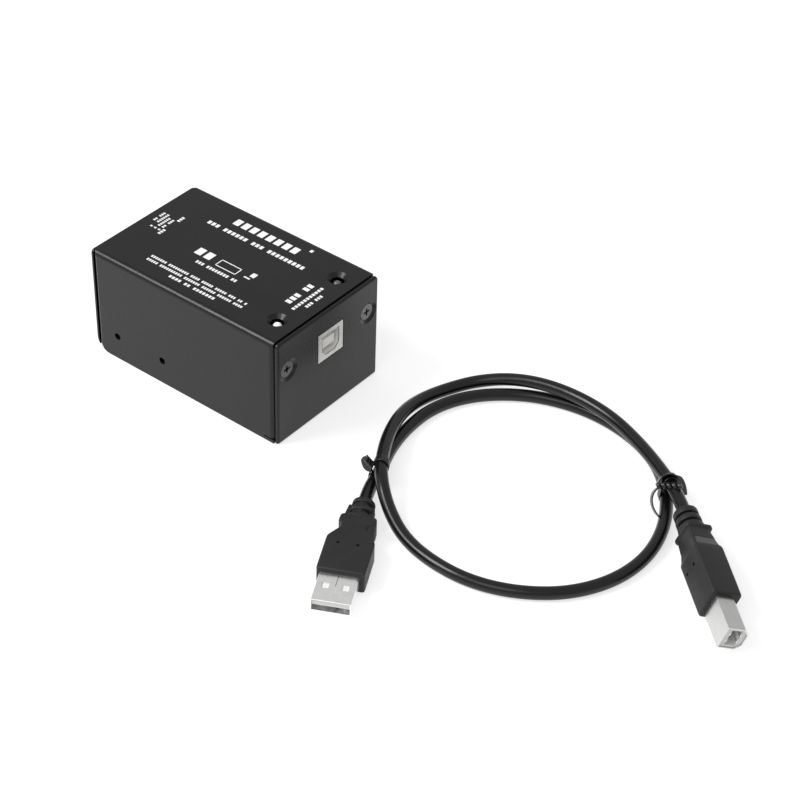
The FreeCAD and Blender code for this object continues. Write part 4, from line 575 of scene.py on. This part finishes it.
@dataclass
class Studio:
    """The pale floor, the soft light and the camera at the photograph's angle; in metres."""

    focal_pixels: float = 2135.0
    image_pixels: float = 800.0
    sensor: float = 36.0
    azimuth: float = -52.90
    elevation: float = 38.92
    roll: float = 2.06
    distance: float = 0.710
    slide: float = 0.0545
    lift: float = -0.0135
    near_clip: float = 0.01
    floor_side: float = 6.0
    floor_drop: float = 0.00005
    floor_grey: float = 0.5
    floor_glow: float = 0.66
    world_level: float = 0.6
    key_watts: float = 13.0
    fill_watts: float = 2.5
    lamp_width: float = 0.7
    key_place: Triple = (-0.72, 0.6, 0.98)
    fill_place: Triple = (-0.86, -0.22, 1.06)

    def camera(self) -> None:
        """Sets the camera.

        Its back direction is (sin a cos e, -cos a cos e, sin e) for azimuth a and elevation e, its
        right and up directions are rolled about that, and it stands back from the aim point.
        """
        angles = (self.azimuth, self.elevation, self.roll)
        turn, rise, roll = (math.radians(angle) for angle in angles)
        back = np.array([math.sin(turn) * math.cos(rise), -math.cos(turn) * math.cos(rise),
                         math.sin(rise)])
        level = np.array([math.cos(turn), math.sin(turn), 0.0])
        upright = np.cross(back, level)
        right = level * math.cos(roll) + upright * math.sin(roll)
        up = upright * math.cos(roll) - level * math.sin(roll)
        eye = right * self.slide + up * self.lift + back * self.distance
        lens = bpy.data.cameras.new("photo_camera")
        lens.sensor_width = self.sensor
        lens.lens = self.sensor * self.focal_pixels / self.image_pixels
        lens.clip_start = self.near_clip
        made = placed(bpy.data.objects.new("photo_camera", lens))
        place = np.eye(4)
        place[:3, :3] = np.stack([right, up, back], -1)
        place[:3, 3] = eye
        made.matrix_world = Matrix(place.tolist())
        bpy.context.scene.camera = made

    @staticmethod
    def _seen(tree: NodeTree) -> NodeSocket:
        """Tells the camera's rays, reflections and rays through a clear piece from all others.

        Args:
            tree: The floor's node tree.

        Returns:
            The output that is one for such a ray, else nought.
        """
        path = tree.nodes.new("ShaderNodeLightPath")
        last = path.outputs["Is Camera Ray"]
        for name in ("Is Glossy Ray", "Is Transmission Ray"):
            top = tree.nodes.new("ShaderNodeMath")
            top.operation = "MAXIMUM"
            tree.links.new(last, top.inputs[0])
            tree.links.new(path.outputs[name], top.inputs[1])
            last = top.outputs["Value"]
        return last

    def floor(self) -> None:
        """Lays the floor: a pale sheet that is white where it is seen and keeps the shadow."""
        half, low, grey = self.floor_side / 2, -self.floor_drop, self.floor_grey
        mesh = bpy.data.meshes.new("studio_floor")
        corners = [(-half, -half, low), (half, -half, low), (half, half, low), (-half, half, low)]
        mesh.from_pydata(corners, [], [(0, 1, 2, 3)])
        made = placed(bpy.data.objects.new("studio_floor", mesh))
        sheet = bpy.data.materials.new("pale_floor")
        sheet.use_nodes = True
        tree = sheet.node_tree
        tree.nodes.remove(tree.nodes["Principled BSDF"])
        matt = tree.nodes.new("ShaderNodeBsdfDiffuse")
        matt.inputs["Color"].default_value = (grey, grey, grey, 1)
        glow = tree.nodes.new("ShaderNodeEmission")
        lift = tree.nodes.new("ShaderNodeMath")
        lift.operation = "MULTIPLY"
        lift.inputs[1].default_value = self.floor_glow
        both = tree.nodes.new("ShaderNodeAddShader")
        tree.links.new(self._seen(tree), lift.inputs[0])
        tree.links.new(lift.outputs["Value"], glow.inputs["Strength"])
        tree.links.new(matt.outputs["BSDF"], both.inputs[0])
        tree.links.new(glow.outputs["Emission"], both.inputs[1])
        tree.links.new(both.outputs["Shader"], tree.nodes["Material Output"].inputs["Surface"])
        made.data.materials.append(sheet)

    def light(self) -> None:
        """Lights the object from all round, and more from above at the left and the near side."""
        world = bpy.data.worlds.new("pale_room")
        bpy.context.scene.world = world
        world.use_nodes = True
        tree = world.node_tree
        background = tree.nodes["Background"]
        background.inputs["Strength"].default_value = self.world_level
        background.inputs["Color"].default_value = (1, 1, 1, 1)
        for name, watts, spot in (("soft_key", self.key_watts, self.key_place),
                                  ("soft_fill", self.fill_watts, self.fill_place)):
            lamp = bpy.data.lights.new(name, "AREA")
            lamp.shape = "DISK"
            lamp.size = self.lamp_width
            lamp.energy = watts
            place = Vector(spot)
            aim = place.to_track_quat("Z", "Y").to_matrix().to_4x4()
            made = placed(bpy.data.objects.new(name, lamp))
            made.matrix_world = Matrix.Translation(place) @ aim

    def build(self) -> None:
        """Sets the camera, the floor, the lights and the plain view."""
        self.camera()
        self.floor()
        self.light()
        bpy.context.scene.view_settings.view_transform = "Standard"


@dataclass(frozen=True)
class PlugPose:
    """Where a plug lies: the point where the cord enters it and three turns, in degrees."""

    origin: Triple
    yaw: float
    pitch: float
    roll: float

    def turn(self) -> np.ndarray:
        """Makes the rotation matrix.

        Returns:
            The yaw about Z times the pitch about Y times the roll about X.
        """
        turn = np.eye(3)
        for axis, angle in ((2, self.yaw), (1, self.pitch), (0, self.roll)):
            one, two = (axis + 1) % 3, (axis + 2) % 3
            step = np.eye(3)
            step[one, one] = step[two, two] = math.cos(math.radians(angle))
            step[two, one] = math.sin(math.radians(angle))
            step[one, two] = -step[two, one]
            turn = turn @ step
        return turn

    def carry(self, skin: Skin) -> Skin:
        """Carries a skin from the plug's own frame to its place."""
        return skin.carried(self.turn(), np.array(self.origin) / MM)


@dataclass
class Plug:
    """What both plugs share: their pose, and how pieces and pits are made; in millimetres."""

    shop: Workshop
    pose: PlugPose
    pit_radius: float = 0.5
    pit_points: int = 20

    def part(self, name: str, skin: Skin, finish: Finish = PLUG_VINYL, slot: str = "plug_vinyl",
             replaces: tuple[str, ...] = (), sharp: float = CRISP) -> Object:
        """Makes one piece of the plug from a skin in the plug's own frame."""
        carried = self.pose.carry(skin)
        return self.shop.piece(name, carried, finish, Body.LEAD, slot, replaces, sharp)

    def pit(self, moulding: Object, profile: tuple[tuple[float, float], ...],
            turn: tuple[tuple[int, int, int], ...], place: Triple) -> None:
        """Carves a pit, whose profile has shares of its radius, with its axis turned from X."""
        skin = revolved(np.array(profile) * (1, self.pit_radius), self.pit_points)
        self.shop.carve(moulding, self.pose.carry(skin.carried(np.array(turn), np.array(place))))


@dataclass
class FlatPlug(Plug):
    """The flat plug's moulded body with its rear wing, pits and ringed strain relief."""

    pose: PlugPose = PlugPose(CORD_ROUTE[0], -153.0, 0.0, 0.0)
    half_thick: float = 4.0
    pit_place: float = 22.8
    pit_side: float = 3.0
    pit_depth: float = 0.8
    ring_width: float = 1.7
    rib_start: float = 3.0
    rib_stop: float = 8.4
    rib_side: float = 3.3
    rib_spread: float = 1.15
    rib_half: float = 0.75
    rib_corner: float = 0.3
    shell_half: float = 2.25
    seam_start: float = 34.2
    seam_stop: float = 39.5
    seam_half: float = 0.09
    seam_thick: float = 0.012
    seam_corner: float = 0.01
    body_crisp: float = 28.0
    relief_crisp: float = 35.0

    def body(self) -> None:
        """Makes the moulded body: rounded rectangles lofted along the plug, with rings behind."""
        up = self.half_thick
        stations = np.array([
            (9.0, 0.4, 0, 4.7, up - 1.1, 1.3), (9.1, 0.45, 0, 5.2, up - 0.7, 1.2),
            (9.4, 0.45, 0, 5.5, up - 0.4, 1.1), (10.0, 0.45, 0, 5.65, up - 0.25, 1.0),
            (12.2, 0.45, 0, 5.65, up - 0.15, 0.9), (12.9, 0.4, 0, 5.4, up - 0.1, 0.9),
            (13.5, 0.3, 0, 4.6, up - 0.05, 0.9), (14.1, 0.1, 0, 4.15, up, 0.9),
            (15.0, 0, 0, 4.05, up, 0.9), (15.8, 0, 0, 4.3, up, 0.9),
            (19.4, 0.15, 0, 6.95, up, 0.9), (20.1, 0.25, 0, 7.3, up, 0.9),
            (21.0, 0.3, 0, 7.4, up, 0.9), (33.3, 0.3, 0, 7.35, up, 0.8),
            (34.0, 0.3, 0, 7.25, up - 0.12, 0.7), (34.35, 0.3, 0, 7.05, up - 0.4, 0.6),
            (34.5, 0.3, 0, 6.55, up - 0.9, 0.4),
        ])
        core = revolved(np.array([(0.2, 2.5), (0.3, 2.7), (9.2, 3.1), (9.6, 3.1)]))
        sizes = ((0.3, 3.6, 3.1, 0.15), (3.9, 3.95, 3.3, 0.45), (7.5, 4.4, 3.5, 0.45))
        rings = [soft_ring(start, self.ring_width, across, tall).carried(
            np.eye(3), np.array([0.0, aside, 0.0])) for start, across, tall, aside in sizes]
        ribs = [lofted(np.array([
            (self.rib_start, side, 0, self.rib_half, tall, self.rib_corner),
            (self.rib_stop, side * self.rib_spread, 0, self.rib_half, tall + 0.1, self.rib_corner),
        ]), 3) for side, tall in ((0.0, 3.15), (self.rib_side, 1.6), (-self.rib_side, 1.6))]
        made = self.part("flat_plug_moulding", lofted(stations),
                         replaces=("flat_plug_body",), sharp=self.body_crisp)
        for side in (-self.pit_side, self.pit_side):
            self.pit(made, ((0, 0.6), (0.3, 1), (2, 1)), ((0, 0, -1), (0, 1, 0), (1, 0, 0)),
                     (self.pit_place, side, up - self.pit_depth))
        self.part("flat_plug_relief", core.joined(*rings, *ribs), sharp=self.relief_crisp)
        seam = lofted(np.array([
            (x, 0, self.shell_half, self.seam_half, self.seam_thick, self.seam_corner)
            for x in (self.seam_start, self.seam_stop)
        ]), 3)
        self.part("flat_plug_seam", seam, finish=SEAM_SHADE, slot="plug_steel")

    def build(self) -> None:
        """Makes the body and dresses the shell, tongue and contacts."""
        self.body()
        self.shop.dress(NICKEL, "flat_plug_shell", "flat_plug_contacts")
        self.shop.dress(PALE_INSULATOR, "flat_plug_tongue")


@dataclass
class SquarePlug(Plug):
    """The square plug's moulded body, rolled a little to one side."""

    pose: PlugPose = PlugPose(CORD_ROUTE[-1], -131.8, 2.1, -18.5)
    pit_place: float = 23.7
    pit_start: float = -6.0
    pit_heights: tuple[float, float] = (-3.05, 1.3)
    plate_thick: float = 0.05
    plate_corner: float = 0.04
    body_crisp: float = 24.0

    def body(self) -> None:
        """Makes the moulded body: rounded rectangles lofted along the plug, flange to front."""
        stations = np.array([
            (8.6, 0, 0, 3.8, 4.0, 1.6), (8.7, 0, 0, 4.3, 4.5, 1.5), (8.95, 0, 0, 4.55, 4.7, 1.4),
            (9.5, 0, 0, 4.55, 4.7, 1.4), (9.8, 0, 0, 4.45, 4.6, 1.4),
            (10.1, -0.3, 0, 3.8, 4.3, 1.3), (10.8, -0.3, 0, 3.75, 4.3, 1.2),
            (14.4, -0.15, 0, 3.95, 4.6, 1.0), (14.5, -0.15, 0, 3.95, 4.4, 0.9),
            (18.0, -0.2, -0.1, 4.5, 5.0, 0.9), (18.1, -0.2, -0.05, 4.55, 5.3, 0.9),
            (18.9, -0.2, 0, 4.85, 5.4, 1.0), (19.8, -0.2, 0, 4.9, 5.45, 1.1),
            (22.4, -0.2, 0, 4.9, 5.45, 1.1), (37.6, -0.2, 0, 4.9, 5.45, 1.2),
            (38.3, -0.2, 0, 4.8, 5.35, 1.1), (38.55, -0.2, 0, 4.55, 5.1, 1.0),
            (38.6, -0.2, 0, 4.2, 4.75, 0.8),
        ])
        made = self.part("square_plug_moulding", lofted(stations),
                         replaces=("square_plug_body",), sharp=self.body_crisp)
        for up in self.pit_heights:
            self.pit(made, ((0, 1), (1.7, 1), (2, 0.6)), ((0, -1, 0), (1, 0, 0), (0, 0, 1)),
                     (self.pit_place, self.pit_start, up))
        core = revolved(np.array([(0.2, 2.5), (0.3, 2.7), (8.4, 3.2), (9.0, 3.2)]))
        sizes = ((0.0, 2.2, 3.9), (3.3, 2.0, 4.05), (6.5, 2.0, 4.2))
        rings = [soft_ring(start, width, half, half) for start, width, half in sizes]
        self.part("square_plug_relief", core.joined(*rings))
        # Thin plates on both faces of the neck, which carry the grip band's painted sheen.
        plates = [lofted(np.array([
            (14.55, -0.15, side * 4.42, 3.2, self.plate_thick, self.plate_corner),
            (17.95, -0.2, side * 5.0 - 0.08, 3.7, self.plate_thick, self.plate_corner),
        ]), 3) for side in (1, -1)]
        self.part("square_plug_grip", plates[0].joined(plates[1]), finish=GRIP_SHEEN_BAND)

    def build(self) -> None:
        """Makes the body and dresses the shell, insert and contacts."""
        self.body()
        # The square plug's shell takes the darker nickel, which is painted shade.
        self.shop.dress(SHADED_NICKEL, "square_plug_shell")
        self.shop.dress(PALE_INSULATOR, "square_plug_insert")
        self.shop.dress(NICKEL, "square_plug_contacts")


@dataclass
class Cord:
    """The lead's cord: one smooth round jacket along its route."""

    shop: Workshop
    diameter: float = 0.0042
    steps: int = 16
    facets: int = 8
    line: np.ndarray = field(init=False)

    def build(self) -> Object:
        """Makes the cord as one open spline with the route's points as its control points.

        Returns:
            The cord's piece.
        """
        curve = bpy.data.curves.new("usb_lead_cord", "CURVE")
        curve.dimensions = "3D"
        spline = curve.splines.new("NURBS")
        spline.points.add(len(CORD_ROUTE) - 1)
        points = np.column_stack([np.array(CORD_ROUTE), np.ones(len(CORD_ROUTE))])
        spline.points.foreach_set("co", points.ravel())
        spline.order_u = 3
        spline.use_endpoint_u = True
        spline.resolution_u = self.steps
        made = placed(bpy.data.objects.new("usb_lead_cord", curve))
        thin = bpy.data.meshes.new_from_object(made)
        line = np.empty(len(thin.vertices) * 3)
        thin.vertices.foreach_get("co", line)
        self.line = line.reshape(-1, 3)
        bpy.data.meshes.remove(thin)
        curve.bevel_depth = self.diameter / 2
        curve.bevel_resolution = self.facets
        curve.use_fill_caps = True
        curve.materials.append(CORD_JACKET.material())
        self.shop.mount(made, Body.LEAD, "cord_vinyl", ("usb_cord",))
        return made

    def length(self) -> float:
        """Adds up the steps along the cord's middle line."""
        return float(np.linalg.norm(np.diff(self.line, axis=0), axis=1).sum())

    def strands(self, x: float, y: float) -> tuple[np.ndarray, np.ndarray, np.ndarray]:
        """Finds the two strands that pass one place, in millimetres.

        Args:
            x: The place across.
            y: The place along.

        Returns:
            The lower strand's point, the upper strand's point and their shared direction.
        """
        line = self.line / MM
        half = len(line) // 2
        near = np.hypot(line[:, 0] - x, line[:, 1] - y)
        first = 1 + int(np.argmin(near[1:half]))
        second = half + int(np.argmin(near[half:-1]))
        ways = [line[k + 1] - line[k - 1] for k in (first, second)]
        ways = [way / np.linalg.norm(way) for way in ways]
        if ways[0] @ ways[1] < 0:
            ways[1] = -ways[1]
        low, high = sorted((line[first], line[second]), key=lambda point: point[2])
        along = ways[0] + ways[1]
        return low, high, along / np.linalg.norm(along)


@dataclass
class TwistTie:
    """A coated tie round two strands: its frame, its band and its twisted end; in millimetres."""

    cord: Cord
    x: float
    y: float
    width: float = 2.6
    thick: float = 0.5
    cord_radius: float = 2.1
    clear: float = 0.08
    band_points: int = 96
    band_bend: float = 5.0
    leg_points: int = 60
    leg_width: float = 1.9
    strip_points: int = 48
    strip_turn: tuple[float, float] = (0.5, 0.3)

    def __post_init__(self) -> None:
        """Works out the middle, the three directions and half the distance of the strands."""
        low, high, along = self.cord.strands(self.x, self.y)
        stack = high - low
        up = stack - along * (stack @ along)
        self.reach = float(np.linalg.norm(up)) / 2
        self.up = up / np.linalg.norm(up)
        self.along = along
        self.aside = np.cross(self.up, along)
        self.middle = (low + high) / 2

    def at(self, aside: float, up: float, along: float) -> np.ndarray:
        """A point given by its distances aside, up and along from the tie's middle."""
        return self.middle + self.aside * aside + self.up * up + self.along * along

    def band(self, slant: float) -> Skin:
        """The band: a circle's outline pulled apart by the strands' distance, a little slanted.

        At angle t the middle line stands at the radius times (cos t, sin t), plus the strand's own
        height with the sign of sin t, smoothed by a hyperbolic tangent.

        Args:
            slant: How far the band leans along the cord between its two sides.

        Returns:
            The band's skin.
        """
        t = np.linspace(0, math.tau, self.band_points, endpoint=False)[:, None]
        radius = self.cord_radius + self.clear + self.thick / 2
        path = (self.middle + self.aside * (radius * np.cos(t)) + self.along * (slant * np.cos(t))
                + self.up * (radius * np.sin(t) + self.reach * np.tanh(self.band_bend * np.sin(t))))
        return ribbon(path, self.along, self.width, self.thick, True)

    def twist(self, root: np.ndarray, tip: np.ndarray, turns: float, radius: float) -> Skin:
        """Two legs wound round each other: each circles the straight line from root to tip.

        Args:
            root: Where the twist starts.
            tip: Where it ends.
            turns: How often each leg goes round.
            radius: How far each leg's middle stands from the line, and the leg's own radius.

        Returns:
            The skin of both legs.
        """
        way = tip - root
        way = way / np.linalg.norm(way)
        first = np.cross(way, self.along)
        first /= np.linalg.norm(first)
        second = np.cross(way, first)
        t = np.linspace(0, 1, self.leg_points)[:, None]
        thick = radius * self.leg_width
        legs = []
        for start in (0.0, math.pi):
            angle = start + t * turns * math.tau
            out = first * np.cos(angle) + second * np.sin(angle)
            legs.append(ribbon(root + (tip - root) * t + out * radius, out, thick, thick, False))
        return legs[0].joined(legs[1])

    def strip(self, corners: tuple[Triple, ...], side: Triple, last_side: Triple) -> Skin:
        """A free end of the tie along one smooth curve, twisting in its second half.

        The width's direction goes from the first to the last one by 3w^2 - 2w^3, where w runs from
        nought to one over the part of the curve that strip_turn gives as its start and length.

        Args:
            corners: The curve's four corners as (aside, up, along).
            side: The direction of the strip's width in the same terms.
            last_side: That direction at the strip's end.

        Returns:
            The strip's skin.
        """
        path = bezier(tuple(self.at(*corner) for corner in corners), self.strip_points)
        start, over = self.strip_turn
        share = np.clip((np.linspace(0, 1, self.strip_points) - start) / over, 0, 1)[:, None]
        share = share ** 2 * (3 - 2 * share)
        first, last = self.at(*side) - self.middle, self.at(*last_side) - self.middle
        return ribbon(path, first * (1 - share) + last * share, self.width, self.thick, False)


@dataclass
class Lead:
    """The USB lead: cord, both plugs and the two ties of its loop."""

    shop: Workshop
    cord: Cord = field(init=False)
    left_place: tuple[float, float] = (-18.6, -75.4)
    right_place: tuple[float, float] = (33.4, -148.8)

    def ties(self) -> None:
        """Makes the two ties with their twisted and free ends."""
        left = TwistTie(self.cord, *self.left_place)
        knot = left.twist(left.at(2.3, 0.6, 0.2), left.at(5.6, 3.2, -0.4), 1.6, 0.55)
        lean = (0, 1, 0.2)
        tail = left.strip(((2.4, -0.4, 0.4), (3.6, -1.6, 0.8), (4.6, -1.4, 1.6), (5.4, 0.2, 2.4)),
                          lean, lean)
        self.shop.piece("left_tie_strip", left.band(0.5).joined(knot, tail), TIE_VINYL,
                        Body.LEAD, "tie_vinyl", ("left_tie",))
        right = TwistTie(self.cord, *self.right_place)
        slope = (-0.12, 0.63, 0.77)
        knot = right.twist(right.at(-4.4, 3.0, 2.2), right.at(1.8, 5.5, 5.6), 2.2, 0.6)
        tail = right.strip(((-3.6, 1.0, 0.2), (-3.9, 8.0, 0.0), (3.0, 7.8, 0.3), (5.2, -2.1, 1.0)),
                           slope, (1.0, 0.15, 0.0))
        hoop = right.strip(((-2.6, 0.6, 0.3), (-6.2, 0.0, 1.2), (-7.6, -1.4, 7.0),
                            (-4.9, -2.6, 10.2)), slope, slope)
        self.shop.piece("right_tie_strip", right.band(-0.4).joined(knot, tail, hoop), TIE_VINYL,
                        Body.LEAD, "tie_vinyl", ("right_tie",))

    def build(self) -> None:
        self.cord = Cord(self.shop)
        made = self.cord.build()
        FlatPlug(self.shop).build()
        SquarePlug(self.shop).build()
        self.ties()
        names = ("flat_plug_moulding", "flat_plug_relief", "flat_plug_seam", "square_plug_moulding",
                 "square_plug_relief", "square_plug_grip", "left_tie_strip", "right_tie_strip")
        nodes = ("flat_plug_shell", "flat_plug_tongue", "flat_plug_contacts",
                 "square_plug_shell", "square_plug_insert", "square_plug_contacts")
        riders = [bpy.data.objects[name] for name in names]
        riders += [self.shop.nodes[name] for name in nodes]
        round(self.cord.length(), 3)


@dataclass(frozen=True)
class PrintRow:
    """One row of plain printed marks in groups; sizes in millimetres."""

    across: float
    start: float
    height: float
    pitch: float
    groups: tuple[int, ...]
    lengthways: bool = True
    share: float = 0.7

    def spots(self) -> np.ndarray:
        """The marks' places along the row: one pitch apart, and one more between groups."""
        steps = np.arange(sum(self.groups)) + np.repeat(np.arange(len(self.groups)), self.groups)
        return self.start + (steps + self.share / 2) * self.pitch


@dataclass
class Enclosure:
    """The folded box: dressed cover, tray and screws, and plain marks on top; in millimetres."""

    shop: Workshop
    top: float = 40.0
    ink: float = 0.03
    stroke: float = 0.35

    def mark(self, x: float, y: float, wide: float, tall: float) -> Skin:
        """Lays one plain mark on the top: its middle, and its sizes across and along the box."""
        half = self.ink / 2
        return lofted(np.array([
            (end, y, self.top + half, tall / 2, half, self.ink / 4)
            for end in (x - wide / 2, x + wide / 2)
        ]), 2)

    def row(self, line: PrintRow) -> list[Skin]:
        """Lays one row of marks, running from far to near or across the box."""
        thick = line.pitch * line.share
        return [self.mark(line.across, -spot, line.height, thick) if line.lengthways else
                self.mark(spot, line.across, thick, line.height) for spot in line.spots()]

    def print(self) -> None:
        """Prints the plain marks that stand where the real box carries its markings."""
        rows = [PrintRow(*values) for values in (
            (17.2, -14.5, 3.3, 3.5, (8,)), (20.4, 15.0, 1.3, 1.6, (1,)),
            (11.35, -21.2, 1.7, 1.73, (3, 6, 3, 9)), (-3.0, -12.9, 3.6, 3.9, (2,)),
            (-7.8, -9.0, 1.3, 1.16, (3, 8, 2)),
            (-14.85, -21.9, 1.05, 0.95, (7, 9, 4, 5, 5, 3, 2, 1)),
            (-16.95, -21.9, 1.05, 0.95, (5, 10, 7, 6, 6, 4)),
            (-19.3, -10.0, 1.15, 1.3, (4, 2, 7)), (-27.7, -5.8, 2.2, 2.1, (3, 2), False),
            (-31.3, -7.5, 1.15, 1.37, (11,), False), (-33.75, -3.9, 1.15, 1.15, (3, 3), False),
            (35.4, 0.3, 0.9, 0.95, (2, 3), False), (33.7, -2.9, 0.9, 0.95, (1,), False),
            (33.7, 0.3, 0.9, 0.95, (6,), False), (32.0, -2.9, 0.9, 0.95, (1, 6), False),
            (30.3, -2.9, 0.9, 0.95, (1, 2, 3), False), (28.8, -4.4, 1.1, 1.1, (3,), False),
            (28.8, 4.8, 1.1, 1.1, (3,), False),
        )]
        outline = [self.mark(-3.6, y, 3.4, self.stroke) for y in (3.0, -5.2)]
        outline += [self.mark(x, -1.1, self.stroke, 8.4) for x in (-5.3, -1.9)]
        small = [self.mark(-1.9, -10.3, 2.2, 1.8), self.mark(-4.2, -9.4, 0.6, 2.4)]
        marks = [mark for line in rows for mark in self.row(line)] + outline + small
        self.shop.piece("top_print", marks[0].joined(*marks[1:]), WHITE_PRINT, Body.BOX,
                        "cover_paint")

    def build(self) -> None:
        """Dresses the folded sheets and screws and prints the top."""
        self.shop.dress(POWDER_COAT, "cover_shell", "base_tray")
        self.shop.dress(DARK_ZINC, "near_panel_screws", "far_panel_screws")
        self.print()


@dataclass
class LatchSpring:
    """The latch's return spring, built at its rest length; sizes in millimetres."""

    shop: Workshop
    floor: float = 24.5
    seat: float = 28.8
    stand_off: float = 0.185
    middle: float = 30.1
    radius: float = 0.5
    wire: float = 0.11
    turns: float = 6.0
    travel: float = 1.5
    per_turn: int = 24
    wire_points: int = 10
    crisp: float = 60.0

    def build(self) -> None:
        """Winds the wire at its rest length.

        At angle t its middle line is (r cos t, floor + rise t, middle + r sin t). Each ring of the
        wire lies square to it, between its outward direction and the one square to both.
        """
        full = math.tau * self.turns
        t = np.linspace(0, full, int(self.turns * self.per_turn) + 1)
        rise = (self.seat - self.floor - 2 * self.stand_off) / full
        out = np.stack([np.cos(t), 0 * t, np.sin(t)], -1)
        foot = self.floor + self.stand_off
        line = out * self.radius + np.stack([0 * t, foot + rise * t, 0 * t + self.middle], -1)
        ahead = np.stack([-self.radius * np.sin(t), 0 * t + rise, self.radius * np.cos(t)], -1)
        ahead /= np.linalg.norm(ahead, axis=1)[:, None]
        across = np.cross(ahead, out)
        a = np.linspace(0, math.tau, self.wire_points, endpoint=False)[None, :, None]
        rings = line[:, None] + self.wire * (np.cos(a) * out[:, None] + np.sin(a) * across[:, None])
        made = self.shop.piece("latch_coil", closed_tube(rings), BRIGHT_WIRE, Body.BOX,
                               "spring_steel", ("latch_spring",), self.crisp)
        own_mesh(made)


@dataclass
class Electronics:
    """The board with its parts and lamps, and the two sockets."""

    shop: Workshop

    def build(self) -> None:
        """Dresses every node of the board and the sockets."""
        for finish, *names in (
            (SOLDER_RESIST, "circuit_board"),
            (LIT_RESIN, "power_lamp"),
            (CLEAR_RESIN, "data_lamp"),
            # The socket's shell takes the darker nickel, which is painted shade.
            (SHADED_NICKEL, "usb_socket_shell"),
            (NICKEL, "xlr_latch", "clock_crystal"),
            # The socket's insulator takes the lifted white, which is partly painted light.
            (IVORY, "usb_socket_body"),
            (GOLD_FLASH, "usb_socket_contacts", "xlr_contacts"),
            (CHIP_BLACK, "usb_controller", "line_driver", "isolation_converter"),
            (CHIP_WHITE, "optocouplers"),
            (CAN_SLEEVE, "electrolytic_capacitors"),
            (TAN_CERAMIC, "ceramic_capacitors"),
            (BLACK_GLAZE, "chip_resistors"),
            (FUSE_GREEN, "resettable_fuse"),
            (TIN, "chip_legs"),
            (MOULDED_BLACK, "xlr_housing", "xlr_insert"),
            (DARK_ZINC, "xlr_screws"),
        ):
            self.shop.dress(finish, *names)


def main() -> None:
    """Builds the studio, the lead and the box, and reports each piece."""
    logging.basicConfig(level=logging.INFO, format="%(message)s")
    Studio().build()
    shop = Workshop(frame["nodes"])
    Lead(shop).build()
    Enclosure(shop).build()
    LatchSpring(shop).build()
    Electronics(shop).build()


if __name__ == "__main__":
    main()
